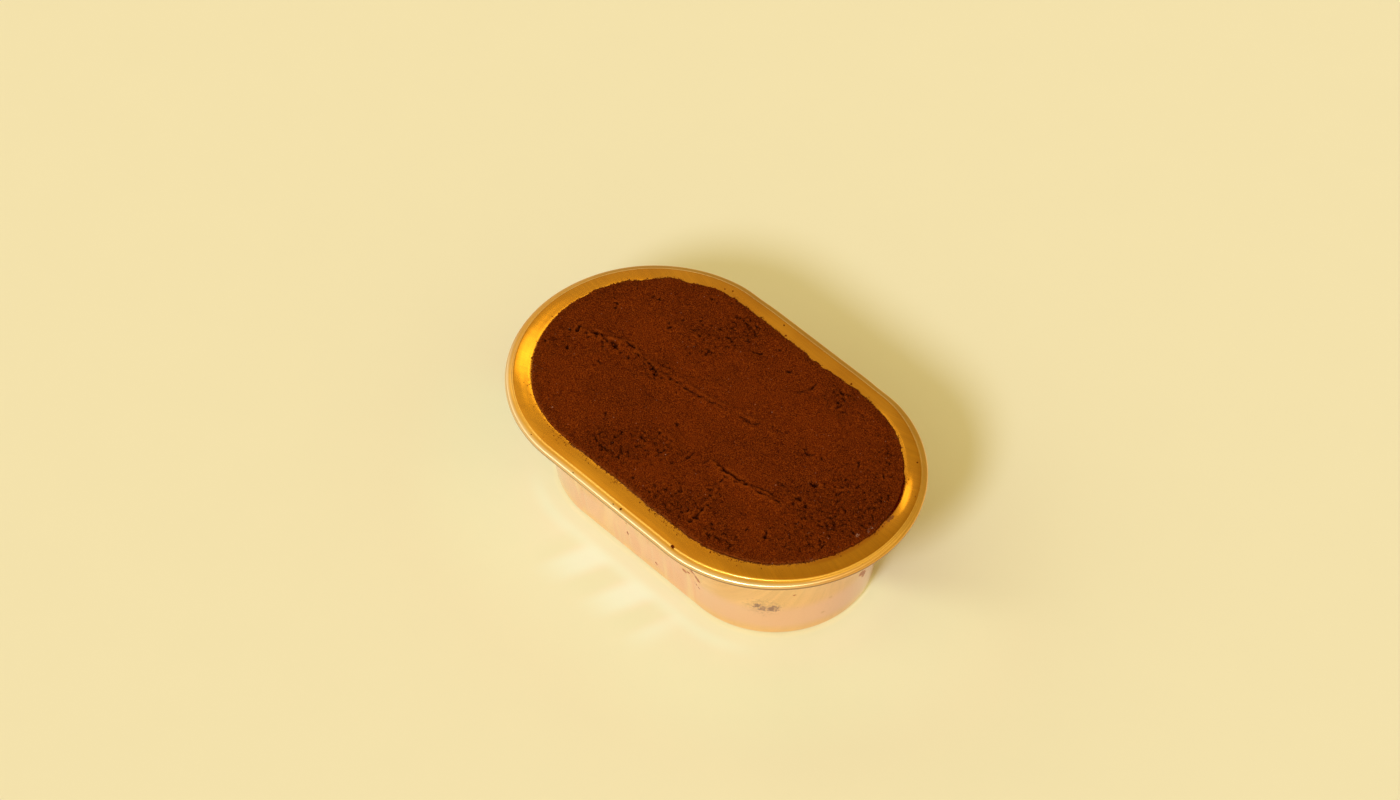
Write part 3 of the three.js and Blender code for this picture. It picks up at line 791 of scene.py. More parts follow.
cocoa = {
    "inset": 8.45, "edgeTop": 47.35, "top": 47.6, "crown": 0.35, "cells": (374, 226), "belowTop": 0.15,
    "ledgeGain": 2.3, "crackGain": 3.2, "crackWiden": 0.9, "pitGain": 2.4, "zoneGain": 1.45,
    "edgeRound": 1.3, "edgeBlend": 4.5, "overFlange": 0.12, "lipRough": 0.10, "lipFollow": 0.7,
    "hollowReach": 3, "hollowFrom": 0.06, "hollowDepth": 0.28,
    "underHeight": 46.25, "underRadius": 38.8, "lipRadius": 40.6,
    "holeDepth": 1.0, "gullyDepth": 0.6, "gullyWidth": 0.09, "wave": (0.22, 9, 26),
    "leeX": -0.42, "leeY": 1.12, "leeDepth": 0.7,
    "relief": [  # height, cell, seed, how much shows where the cocoa is smooth
        (0.17, 4, 27, 0.7), (0.20, 1.9, 28, 0.15), (0.15, 0.95, 29, 0.1), (0.12, 0.6, 32, 0.35),
    ],
    "warps": [(0.45, 1.7, 21, 23), (0.25, 0.8, 22, 24)],  # shift, cell and two seeds
    "ledges": [  # route, height, the long slope up to the brow and the short drop on the left of the route
        ([(-62, -6), (-53, -4), (-48, -1), (-43, 2), (-37, 1)], 0.6, 2.4, 0.7),
        ([(-37, 1), (-18, 2), (0, 5), (19, 11)], 0.35, 4, 1.5),
        ([(13, -14.8), (21, -14.9), (32, -13), (45, -10.5)], 0.8, 2.8, 0.6),
        ([(24, -37), (26, -30), (24, -23), (22, -17)], 0.5, 2.2, 0.8),
        ([(1.5, -27), (0.5, -21), (-3, -18.5), (-9, -18.5)], 0.45, 3, 0.8),
        ([(44, -35), (34, -38)], 0.5, 2, 0.7),
        ([(-48, 16), (-30, 21), (-6, 30)], 0.3, 4, 2),
    ],
    "swells": [  # x, y, reach, height
        (-48, 26, 16, 0.35), (-24, 12, 12, 0.35), (-42, -14, 13, 0.3), (4, -28, 12, 0.4),
        (34, 14, 15, 0.3), (40, -24, 12, 0.35), (60, 4, 9, -0.2), (12, 34, 10, -0.25),
        (60, 26, 12, -0.35), (48, 36, 8, -0.3),
    ],
    "cracks": [  # route, width, depth
        ([(-61.2, -4.6), (-60.6, -6), (-60, -7)], 0.6, 0.9),
        ([(-55, -3.0), (-53, -2.6), (-51, -3.0), (-49.2, -3.4)], 0.6, 0.55),
        ([(-48.6, -2.6), (-46.8, -2.0), (-45, -2.8)], 0.5, 0.7),
        ([(-44, 1.4), (-42.3, 2.2), (-40.5, 1.6)], 0.5, 0.6),
        ([(-32, 0.2), (-30, -0.1), (-27, -1.3)], 0.6, 0.7),
        ([(-26, 0.3), (-20, 1.8), (-10, 2), (5, 5.8), (11, 6.5), (14.5, 9.2), (20, 11.5)], 0.8, 0.18),
        ([(-57.5, -13.7), (-56.6, -15)], 0.4, 0.3),
        ([(-45, -10.5), (-44, -11.3)], 0.4, 0.3),
        ([(-26.8, -7.8), (-23, -9.4), (-17, -8.5)], 0.5, 0.12),
        ([(-20.2, 4.8), (-16, 8.5)], 0.5, 0.12),
        ([(17, -14.8), (21, -14.4), (27.5, -13.7), (33, -13.1), (38, -12.4), (43, -11.2)], 0.6, 0.45),
        ([(20, -14.6), (24, -14.2), (28.5, -13.6)], 1.2, 0.6),
        ([(22.5, -18.3), (24, -24.5), (25.5, -29), (27, -34), (27, -37)], 0.6, 0.4),
        ([(7.3, -16.4), (7.5, -20)], 0.4, 0.3),
        ([(35, -37.4), (38, -36.1), (40, -35.4), (43.3, -34.8)], 0.6, 0.6),
        ([(31.5, 11.5), (33, 10), (34.5, 11)], 0.5, 0.3),
        ([(22, 38), (25, 39.5)], 0.5, 0.35),
        ([(13, 35), (13, 32.5), (11.5, 28)], 0.8, 0.22),
        ([(48, 20.5), (50, 17.5)], 0.4, 0.25),
        ([(-23, 37.5), (-20, 37), (-17, 35.8)], 0.6, 0.5),
        ([(-20.5, 39.5), (-18, 39)], 0.5, 0.4),
        ([(-47.5, 35.5), (-45, 35.2)], 0.4, 0.3),
        ([(-12, 29), (-9, 31)], 0.5, 0.3),
        ([(-68, -15), (-65, -17.5)], 0.6, 0.5),
        ([(-21.5, -34.8), (-18, -36)], 0.6, 0.5),
        ([(-15, -37.6), (-12, -35.1)], 0.5, 0.4),
        ([(-8, -18.4), (-2, -18.6), (0.3, -21.5), (2, -26)], 0.6, 0.25),
        ([(58, -2.7), (60.4, -3.7), (62.5, -5.2)], 0.9, 0.5),
        ([(48, -23), (50, -24.5)], 0.4, 0.3),
        ([(64, -12), (65, -14.5), (65.6, -17)], 0.5, 0.35),
    ],
    "pits": [  # x, y, radius, depth
        (-6.2, -11.5, 0.7, 0.6), (28.6, 32.5, 0.7, 0.5), (38, 13, 0.6, 0.4), (24, 36.5, 0.6, 0.4),
        (3, 32.5, 0.6, 0.35), (52, 31, 1.0, 0.35), (-53.5, 22.8, 0.5, 0.4), (-51, 23, 0.5, 0.35),
        (-33, 40.3, 0.6, 0.35), (-39, 36.5, 0.5, 0.35), (-33, 22, 0.6, 0.35), (-38.5, 22.3, 0.5, 0.3),
        (-19.8, 24.5, 0.9, 0.3), (-27, 20.5, 0.7, 0.3), (-6, 37, 0.6, 0.3), (-29.5, 21.5, 0.6, 0.3),
        (42.8, -26.4, 0.6, 0.6), (-13, -24, 0.6, 0.3), (-8, -28, 0.6, 0.3), (50, 12, 0.5, 0.3),
        (45.7, -5.2, 0.6, 0.6), (36.9, -4.4, 0.6, 0.6), (38.5, -36.4, 0.8, 0.8),
        (40.4, -35.9, 0.8, 0.8), (43.7, -35.4, 0.7, 0.7), (36.5, -37.9, 0.7, 0.6), (16.6, -38.9, 0.8, 0.7),
        (19.0, -39.3, 0.8, 0.7), (28.3, -34.8, 0.6, 0.6), (27.1, -37.1, 0.6, 0.5), (26.5, -31.2, 0.6, 0.6),
        (25.2, -23.9, 0.5, 0.5), (33.4, -33.3, 0.5, 0.5), (49.1, -24.5, 0.6, 0.5), (60.9, -4.1, 0.8, 0.8),
        (60.0, -6.1, 0.7, 0.7), (63.2, -2.7, 0.7, 0.7), (58.8, -12.4, 0.5, 0.5), (46.0, -8.0, 0.5, 0.4),
        (44.6, 3.2, 1.0, 1.0), (-55.1, -6.5, 0.5, 0.5), (-53.2, -4.6, 0.5, 0.5), (-49.4, -5.4, 0.6, 0.7),
        (-46.1, -3.0, 0.6, 0.6),
        (-41.9, 1.2, 0.6, 0.7), (-37.9, 0.4, 0.5, 0.6), (-30.6, 0.2, 0.6, 0.7), (-28.0, 0.0, 0.6, 0.7),
        (-28.1, 3.1, 0.5, 0.4), (-21.4, 0.5, 0.5, 0.6), (-19.1, 1.1, 0.5, 0.5), (-39.3, -2.7, 0.5, 0.4),
        (-42.6, -3.2, 0.5, 0.4), (-15.5, 1.4, 0.4, 0.4), (-59.2, 9.8, 0.5, 0.5), (-38.9, 16.8, 0.6, 0.6),
    ],
    "clumps": [  # x, y, radius of the larger clumps
        (-53.3, -5.4, 1.0), (-50.3, -4.4, 1.0), (-50, -6.3, 1.2), (-56.5, -6.6, 0.8), (-54, -6.5, 0.8),
        (-46.4, -4.4, 1.1), (-41.7, -0.1, 1.1), (-37.7, -0.7, 0.9), (-31, -1, 1.0), (-28.8, -1.6, 1.0),
        (-62, -9.6, 0.9), (36, -4.9, 0.6), (45.2, -6, 0.9), (49.5, -7, 0.7), (43.7, 1.2, 1.0),
        (52.8, 3.3, 0.7),
        (54, 2.3, 0.5), (52, -2, 0.7), (-40.5, 16.6, 0.8), (-60, 10.3, 0.8), (-25.7, -26.8, 0.9),
        (31, -40, 0.8), (16.2, -39.6, 1.0), (18.5, -40.6, 0.9), (9, -39.6, 0.7), (1, -39, 0.6),
        (36, -38.4, 0.9), (39.5, -37.3, 0.9), (42.5, -36.6, 0.8), (-17, -37.6, 0.8), (-14, -37.4, 0.7),
        (-20, -36.8, 0.8), (22.6, -24.5, 0.7), (24, -28, 0.8), (25.2, -33, 0.7), (60.5, -5.4, 0.8),
        (23, -17.2, 0.7), (20, -16.4, 0.6), (26.5, -16, 0.6), (-19.5, 36, 0.7), (24, 38.3, 0.6),
    ],
    "zones": [  # x, y, reach, how much rougher
        (-29, 1, 6, 0.8), (62, 2, 11, 0.5), (64, 14, 9, 0.7), (60, -14, 10, 0.5), (24, -30, 7, 0.45),
        (-12, -28, 9, 0.6), (40, -37, 6, 0.8), (15, -39, 7, 0.65), (-15, -37, 8, 0.7), (-20, 37, 8, 0.6),
        (24, 37, 7, 0.5), (-25, 22, 10, 0.5), (33, 11, 5, 0.4), (-50, -4, 7, 0.4), (-62, -12, 7, 0.4),
        (-46, 34, 8, 0.3), (-64, 12, 7, 0.4), (48, -2, 8, 0.25), (2, -22, 7, 0.5), (50, 30, 9, 0.4),
    ],
    "bare": [  # x, y, length, width, turn, amount
        (70.3, 4.2, 4.2, 0.9, 105, 1.0), (69.7, -2.0, 1.6, 0.8, 100, 1.0), (69, 12, 1.4, 0.7, 100, 0.5),
        (65, 16.5, 1.6, 0.8, 120, 0.5), (68.5, 14, 1.0, 0.6, 100, 0.5), (57.7, -13.1, 0.8, 0.7, 0, 0.9),
        (68.8, -9.8, 2.2, 0.8, 80, 0.5), (66.3, -19.8, 1.2, 0.8, 60, 0.5), (63.7, -10, 0.8, 0.7, 0, 0.5),
        (67.5, -13.5, 1.0, 0.6, 80, 0.5), (36, -6.6, 0.6, 0.6, 0, 0.8), (12.2, 15, 0.6, 0.6, 0, 0.8),
        (28.6, 33.3, 0.7, 0.6, 0, 0.5), (63, -24, 1.0, 0.7, 50, 0.4), (-40.8, -36.4, 0.6, 0.6, 0, 0.8),
        (-22, -37.9, 0.7, 0.5, 0, 0.7), (-42.5, 36.8, 1.2, 0.8, 20, 0.3), (51.3, 18, 0.6, 0.5, 0, 0.6),
    ],
}
cocoaRim = outerRadius - cocoa["inset"]
edge = {  # how far the cocoa's edge wanders out (+) or in (-), with bites as x, y, reach, depth
    "near": -0.45, "far": 0.35, "ends": 0.25, "wander": 0.22, "ragged": 0.20,
    "bites": [(4, 41.6, 1.6, -0.8), (9.5, 41.8, 1.4, -0.7), (24, 42.3, 2.2, 0.6), (-50, 35.5, 2.5, -0.7),
              (-56, 32, 2.2, 0.5), (-62, 25.5, 2.4, -0.6), (-65, 20, 2.0, 0.5), (-41, 40.8, 3.0, 0.5),
              (-24, -42, 3.0, 0.35), (12, -42, 2.5, 0.4), (44, -38, 2.5, -0.4), (72, 2, 4.0, 0.3)],
}


def cocoaEdgeRadius(x, y):
    foot, _, outX, outY = ovalCoordinates(x, y)
    rimX, rimY = foot + outX * cocoaRim, outY * cocoaRim
    reach = cocoaRim + edge["near"] * smoothStep(-outY, 0.1, 0.8) + edge["far"] * smoothStep(outY, 0.2, 0.9)
    reach += edge["ends"] * (smoothStep(outX, 0.5, 1.0) - smoothStep(-outX * (outY < 0.2), 0.3, 0.9))
    reach += edge["wander"] * softNoise(rimX, rimY, 9, 11)
    reach += edge["ragged"] * softNoise(rimX, rimY, 1.6, 12) * (0.5 + 0.5 * smoothStep(outY, -0.4, 0.6))
    for biteX, biteY, size, depth in edge["bites"]:
        reach += depth * dome(rimX, rimY, biteX, biteY, size)
    return reach


# the nearest place on a route: how far off, signed to its left, and how far along it from 0 to 1
def nearRoute(route, x, y):
    best = np.full(x.shape, np.inf)
    left = np.zeros(x.shape)
    at = np.zeros(x.shape)
    for i, (start, end) in enumerate(zip(route, route[1:])):
        alongX, alongY = end[0] - start[0], end[1] - start[1]
        share = ((x - start[0]) * alongX + (y - start[1]) * alongY) / (alongX ** 2 + alongY ** 2)
        share = np.clip(share, 0, 1)
        dx, dy = x - start[0] - alongX * share, y - start[1] - alongY * share
        distance = np.hypot(dx, dy)
        closer = distance < best
        best = np.where(closer, distance, best)
        left = np.where(closer, alongX * dy - alongY * dx > 0, left)
        at = np.where(closer, (i + share) / (len(route) - 1), at)
    return best, left > 0.5, at


# a smooth curve through the route's corners
def smoothRoute(route, steps=6):
    padded = [route[0], *route, route[-1]]
    made = []
    for a, b, c, d in zip(padded, padded[1:], padded[2:], padded[3:]):
        for i in range(steps):
            t = i / steps
            made.append(tuple(0.5 * (2 * q + (r - p) * t + (2 * p - 5 * q + 4 * r - s) * t * t
                                     + (3 * q - p - 3 * r + s) * t ** 3)
                              for p, q, r, s in zip(a, b, c, d)))
    return made + [route[-1]]


def zoneRoughness(x, y):
    amount = 0.10 + 0.12 * smoothStep(x, -30, 60) + 0.06 * smoothStep(-y, 5, 40)
    for zoneX, zoneY, reach, more in cocoa["zones"]:
        amount = amount + cocoa["zoneGain"] * more * dome(x, y, zoneX, zoneY, reach)
    return np.clip(amount + 0.22 * softNoise(x, y, 6, 31), 0.08, 1.3)


def cocoaHeight(x, y):
    warpX, warpY = x, y
    for shift, cell, seedX, seedY in cocoa["warps"]:
        warpX = warpX + shift * softNoise(x, y, cell, seedX)
        warpY = warpY + shift * softNoise(x, y, cell, seedY)
    height = cocoa["top"] + cocoa["crown"] * np.clip(1 - (y / cocoaRim) ** 2, 0, 1)
    for swellX, swellY, reach, lift in cocoa["swells"]:
        height = height + lift * dome(x, y, swellX, swellY, reach)
    for route, lift, slope, drop in cocoa["ledges"]:
        off, onLeft, at = nearRoute(smoothRoute(route), warpX, warpY)
        swelling = np.sqrt(np.sin(math.pi * np.clip(at, 0, 1)))
        height += cocoa["ledgeGain"] * lift * swelling * np.exp(-(off / np.where(onLeft, drop, slope)) ** 2)
    for route, width, depth in cocoa["cracks"]:
        off = nearRoute(route, warpX, warpY)[0]
        deep = cocoa["crackGain"] * depth * (0.75 + 0.5 * softNoise(x, y, 1.3, 25))
        height -= deep * np.exp(-(off / (cocoa["crackWiden"] * width)) ** 2)
    for pitX, pitY, radius, depth in cocoa["pits"]:
        height -= cocoa["pitGain"] * depth * dome(warpX, warpY, pitX, pitY, radius)
    for clumpX, clumpY, size in cocoa["clumps"]:  # the hollow in the lee of each clump
        leeX, leeY = clumpX + cocoa["leeX"] * size, clumpY + cocoa["leeY"] * size
        height -= cocoa["leeDepth"] * (1 + size) * dome(warpX, warpY, leeX, leeY, 0.15 + 0.55 * size)
    rough = zoneRoughness(x, y)
    lift, cell, seed = cocoa["wave"]
    height += lift * softNoise(x, y, cell, seed)
    for lift, cell, seed, least in cocoa["relief"]:
        height += lift * softNoise(x, y, cell, seed) * (least + rough)
    holes = smoothStep(softNoise(x, y, 1.1, 30) + 0.35 * softNoise(x, y, 0.55, 33), 0.40, 0.8)
    gullies = np.exp(-(softNoise(warpX, warpY, 3.1, 36) / cocoa["gullyWidth"]) ** 2)
    gullies = gullies * smoothStep(softNoise(x, y, 5, 37), 0.0, 0.6)
    height = height - cocoa["holeDepth"] * holes * rough ** 2 - cocoa["gullyDepth"] * gullies * rough ** 1.7
    return np.minimum(height, topLimit - cocoa["belowTop"])


# the height of the cocoa with its rounded edge laid over the flange, where the lip says how uneven it is
def coveredHeight(x, y, radius, outX, outY, lip=0.0):
    fromEdge = cocoaEdgeRadius(x, y) - radius
    rounding = np.sqrt(np.clip(1 - (1 - np.clip(fromEdge / cocoa["edgeRound"], 0, 1)) ** 2, 0, 1))
    fall = lipFall(radius, outX, outY)
    floor = tray["flangeTop"] + cocoa["overFlange"] - fall
    edgeHeight = floor + (cocoa["edgeTop"] + lip - cocoa["lipFollow"] * fall - floor) * rounding
    blend = smoothStep(fromEdge, 0.2, cocoa["edgeBlend"])
    inside = tray["flangeTop"] - cocoa["underHeight"] - 0.1
    deepest = tray["flangeTop"] + 0.1 - inside * smoothStep(fromEdge, 2, 3.5)
    return np.maximum(edgeHeight * (1 - blend) + cocoaHeight(x, y) * blend, deepest)


# lays the square grid over the oval: the middle stays a grid, each half-square becomes a half-disc
def gridToOval(points):
    x = points[:, 0] * (halfStraight + cocoaRim)
    across = points[:, 1]
    past = np.clip((np.abs(x) - halfStraight) / cocoaRim, 0, 1)
    size = np.maximum(past, np.abs(across))
    ratio = np.where(past > np.abs(across), np.abs(across) / np.maximum(past, 1e-9),
                     past / np.maximum(np.abs(across), 1e-9))
    angle = np.where(past > np.abs(across), math.pi / 4 * ratio, math.pi / 2 - math.pi / 4 * ratio)
    inEnd = past > 0
    endX = np.sign(x) * (halfStraight + cocoaRim * size * np.cos(angle))
    endY = np.sign(across) * cocoaRim * size * np.sin(angle)
    return np.where(inEnd, endX, x), np.where(inEnd, endY, across * cocoaRim)


def shapeCocoaTop(piece):
    points = readPoints(piece) * mm
    x, y = gridToOval(points)
    foot, radius, outX, outY = ovalCoordinates(x, y)
    share = radius / cocoaRim
    radius = radius + (cocoaEdgeRadius(x, y) - cocoaRim) * smoothStep(share, 0.8, 1.0)
    x, y = foot + outX * radius, outY * radius
    lip = cocoa["lipRough"] * softNoise(x, y, 1.2, 35)
    height = coveredHeight(x, y, radius, outX, outY, lip)
    writePoints(piece, np.stack([x, y, height], axis=1))
    return height


# how far each point lies below or above the cocoa just around it, as shares for painted shade in the hollows
# and painted light on the crests
def paintHollows(piece, height):
    columns, rows = cocoa["cells"]
    field = height.reshape(rows + 1, columns + 1)
    around = np.zeros_like(field)
    reach = cocoa["hollowReach"]
    for i in range(-reach, reach + 1):
        for j in range(-reach, reach + 1):
            around += np.roll(field, (i, j), axis=(0, 1))
    around /= (2 * reach + 1) ** 2
    above = np.zeros(len(piece.data.vertices))
    above[:len(height)] = (field - around).ravel()
    paint(piece, "hollow", (-above - cocoa["hollowFrom"]) / cocoa["hollowDepth"])
    paint(piece, "proud", (above - cocoa["hollowFrom"]) / cocoa["hollowDepth"])


# the edge turned down and in under the cocoa, and the flat underside
def closeCocoa(piece):
    pick(piece)
    editAll()
    bpy.ops.mesh.region_to_loop()
    rings = [  # radius, or None for straight down, and height
        (None, tray["flangeTop"] + 0.04), (cocoa["lipRadius"], tray["flangeTop"] + 0.02),
        (cocoa["underRadius"], cocoa["underHeight"]),
    ]
    for ringRadius, ringHeight in rings:
        bpy.ops.mesh.extrude_edges_move(TRANSFORM_OT_translate={"value": (0, 0, -0.1 * mm)})
        bpy.ops.object.mode_set(mode="OBJECT")
        points = readPoints(piece)
        chosen = np.zeros(len(points), dtype=bool)
        piece.data.vertices.foreach_get("select", chosen)
        foot, radius, outX, outY = ovalCoordinates(points[:, 0], points[:, 1])
        target = radius - 0.05 if ringRadius is None else np.full(len(points), float(ringRadius))
        points[chosen, 0] = (foot + outX * target)[chosen]
        points[chosen, 1] = (outY * target)[chosen]
        onLip = ringHeight > tray["flangeTop"]
        points[chosen, 2] = (ringHeight - lipFall(np.abs(target), outX, outY) * onLip)[chosen]
        writePoints(piece, points)
        bpy.ops.object.mode_set(mode="EDIT")
    bpy.ops.mesh.edge_face_add()
    bpy.ops.mesh.select_all(action="SELECT")
    bpy.ops.mesh.normals_make_consistent(inside=False)
    bpy.ops.object.mode_set(mode="OBJECT")


def paintCocoa(piece):
    points = readPoints(piece)
    x, y = points[:, 0], points[:, 1]
    bare = np.zeros(len(x))
    for spotX, spotY, length, width, turn, amount in cocoa["bare"]:
        turned = math.radians(turn)
        along = (x - spotX) * math.cos(turned) + (y - spotY) * math.sin(turned)
        across = (y - spotY) * math.cos(turned) - (x - spotX) * math.sin(turned)
        ragged = 1 + 0.5 * softNoise(x, y, 0.7, 41)
        away = (along / length * 1.3) ** 2 + (across / width * 1.1) ** 2
        bare = np.maximum(bare, amount * np.exp(-away * ragged))
    _, radius, _, outY = ovalCoordinates(x, y)
    fromEdge = cocoaEdgeRadius(x, y) - radius
    nearSide = smoothStep(-outY, 0.1, 0.7) * 0.8 + 0.2
    fringe = (1 - smoothStep(fromEdge, 0.2, 2.2)) * nearSide
    paint(piece, "bare", bare)
    paint(piece, "fringe", fringe)
    paint(piece, "rough", zoneRoughness(x, y) / 1.3)


cocoaLook = {
    "name": "cocoaPowder", "colour": (0.131, 0.0163, 0.0004), "dark": (0.062, 0.0073, 0.0003),
    "light": (0.265, 0.049, 0.004), "deep": (0.016, 0.0018, 0.0001), "fringe": (0.23, 0.05, 0.007),
    "pale": (0.34, 0.15, 0.10), "cream": (0.44, 0.22, 0.15),
    "noises": {  # scale per metre, detail, roughness
        "powder": (2900.0, 3.0, 0.75), "crumbs": (620.0, 3.0, 0.6), "cloud": (55.0,), "patches": (260.0, 2.0),
    },
    "layers": [  # noise, its ends and how much shows at them, colour
        ("cloud", (0.35, 0.68, 0.0, 0.4), "dark"), ("patches", (0.48, 0.68, 0.0, 0.35), "dark"),
        ("crumbs", (0.45, 0.72, 0.0, 0.5), "dark"), ("powder", (0.50, 0.61), "light"),
        ("powder", (0.46, 0.36), "deep"),
    ],
    # painted light where the cocoa stands proud and painted shade in its hollows, then its orange fringe
    "paints": [("proud", 0.45, "light"), ("hollow", 0.9, "deep"), ("fringe", 0.7, "fringe")],
    "fleckScale": 700.0, "fleckSize": (0.20, 0.08), "fleckChosen": (0.86, 0.97),
    "fleckRough": (0.05, 0.6, 0.45, 1.0), "creamFrom": (0.60, 1.15), "creamPowder": (0.3, 0.6, 1.0, 0.55),
    "matt": 0.96, "moist": 0.5, "shine": 0.03,
    "grainHeight": 0.3, "crumbHeight": 0.5, "crumbStrength": 0.8,
}


def cocoaMaterial(spec):
    material, tree, shader = startMaterial(spec["name"])
    place = objectPlace(tree)
    noises = {name: noiseNode(place, *values) for name, values in spec["noises"].items()}
    powder = noises["powder"]
    layers = [(mapRange(noises[noise], *ends), colour) for noise, ends, colour in spec["layers"]]
    layers += [(times(painted(tree, name), amount), colour) for name, amount, colour in spec["paints"]]
    # pale flecks of fat and sugar, a few tenths of a millimetre across
    inputs = {"Vector": place, "Scale": spec["fleckScale"]}
    cells = addNode(tree, "ShaderNodeTexVoronoi", inputs, feature="F1").outputs
    chosen = addNode(tree, "ShaderNodeSeparateColor", {"Color": cells["Color"]}).outputs["Red"]
    fleck = times(mapRange(cells["Distance"], *spec["fleckSize"]), mapRange(chosen, *spec["fleckChosen"]),
                  mapRange(painted(tree, "rough"), *spec["fleckRough"]))
    layers.append((fleck, "pale"))
    # the soaked cream where the cocoa is thin
    shown = mapRange(mathNode("ADD", painted(tree, "bare"), times(powder, 0.6)), *spec["creamFrom"])
    layers.append((times(shown, mapRange(powder, *spec["creamPowder"])), "cream"))
    tone = spec["colour"]
    for share, colour in layers:
        tone = mixColour(share, tone, spec[colour])
    grain = bumpNode(powder, 1.0, spec["grainHeight"] * mm)
    feed(shader, {"Base Color": tone, "Roughness": mapRange(shown, 0.0, 1.0, spec["matt"], spec["moist"]),
                  "Specular IOR Level": spec["shine"],
                  "Normal": bumpNode(noises["crumbs"], spec["crumbStrength"], spec["crumbHeight"] * mm,
                                     Normal=grain)})
    return material


def makeCocoa():
    deselectAll()
    columns, rows = cocoa["cells"]
    bpy.ops.mesh.primitive_grid_add(x_subdivisions=columns, y_subdivisions=rows, size=2)
    piece = nameMade("cocoaLayer")
    height = shapeCocoaTop(piece)
    closeCocoa(piece)
    paintCocoa(piece)
    paintHollows(piece, height)
    piece.data.materials.append(cocoaMaterial(cocoaLook))
    pick(piece)
    bpy.ops.object.shade_smooth()
    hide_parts("cocoa_layer")
    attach(piece, "root")
    return piece


cocoaPiece = makeCocoa()
print("cocoa layer spread:", len(cocoaPiece.data.polygons), "faces")


def makeTray():
    line = foilLine()
    piece = drawLine("foilTray", line)
    sweepOval(piece, tray["arcSteps"], tray["straightSteps"])
    upper, under, rim = foilMaterial(foilTop), foilMaterial(foilUnder), foilMaterial(rolledRim)
    for material in (upper, under, rim, under):
        piece.data.materials.append(material)
    paintBlank(piece, line)
    dentFoil(piece)
    paintDust(piece)
    wall = piece.modifiers.new("Foil", "SOLIDIFY")
    wall.thickness = tray["foil"] * mm
    wall.offset = 0
    wall.use_even_offset = True
    wall.material_offset = 1
    wall.material_offset_rim = 1
    applyModifiers(piece)
    bpy.ops.object.shade_smooth_by_angle(angle=math.radians(tray["smoothAngle"]))
    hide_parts("foil_tray")
    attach(piece, "root")
    return piece


trayPiece = makeTray()
print("foil tray pressed:", len(trayPiece.data.polygons), "faces")


# cream and sponge

cream = {
    "clearance": 0.3, "top": 45.9, "edge": 0.6, "arcSteps": 60, "straightSteps": 30,
    "colour": (0.86, 0.70, 0.46), "soaked": (0.42, 0.20, 0.08), "give": 0.12, "smoothAngle": 60,
    "roughness": 0.55, "scatter": 0.15, "scatterReach": 3,
}


def creamMaterial(spec):
    material, tree, shader = startMaterial("creamAndSponge")
    place = objectPlace(tree)
    soft = noiseNode(place, 60.0, 4.0)
    tone = mixColour(mapRange(soft, 0.5, 0.75, 0.0, 0.35), spec["colour"], spec["soaked"])
    pores = bumpNode(noiseNode(place, 700.0), 0.3, 0.3 * mm)
    feed(shader, {"Base Color": tone, "Normal": pores, "Roughness": spec["roughness"],
                  "Subsurface Weight": spec["scatter"], "Subsurface Scale": spec["scatterReach"] * mm})
    return material


def makeCream(spec):
    inner = lambda height: wallRadius(height) - tray["foil"] / 2 - spec["clearance"]
    bottom = tray["foil"] + spec["clearance"]
    baseEnd = (inner(0) - tray["baseFillet"], bottom)
    wallStart = (inner(tray["baseFillet"]), bottom + tray["baseFillet"])
    wallEnd = (inner(spec["top"] - spec["edge"]), spec["top"] - spec["edge"])
    topStart = (inner(spec["top"]) - spec["edge"], spec["top"])
    line = [(0, bottom)]
    line += straight(line[-1], baseEnd, 3)
    line += bend(baseEnd, (inner(0), bottom), wallStart, 5)
    line += straight(wallStart, wallEnd, 8)
    line += bend(wallEnd, (inner(spec["top"]), spec["top"]), topStart, 4)
    line += straight(topStart, (0, spec["top"]), 14)
    piece = drawLine("creamFilling", line)
    sweepOval(piece, spec["arcSteps"], spec["straightSteps"])
    points = readPoints(piece)
    x, y, z = points.T
    radius = ovalCoordinates(x, y)[1]
    give = smoothStep(radius, 5, 12) * spec["give"] * (softNoise(x, y, 7, 51) - 1)
    points[:, 2] += np.where(z > spec["top"] - 0.1, give, 0)
    writePoints(piece, points)
    piece.data.materials.append(creamMaterial(spec))
    pick(piece)
    bpy.ops.object.shade_smooth_by_angle(angle=math.radians(spec["smoothAngle"]))
    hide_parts("cream_filling")
    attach(piece, "root")
    return piece


creamPiece = makeCream(cream)
print("cream filling made:", len(creamPiece.data.polygons), "faces")


# clumps, grains and crumbs

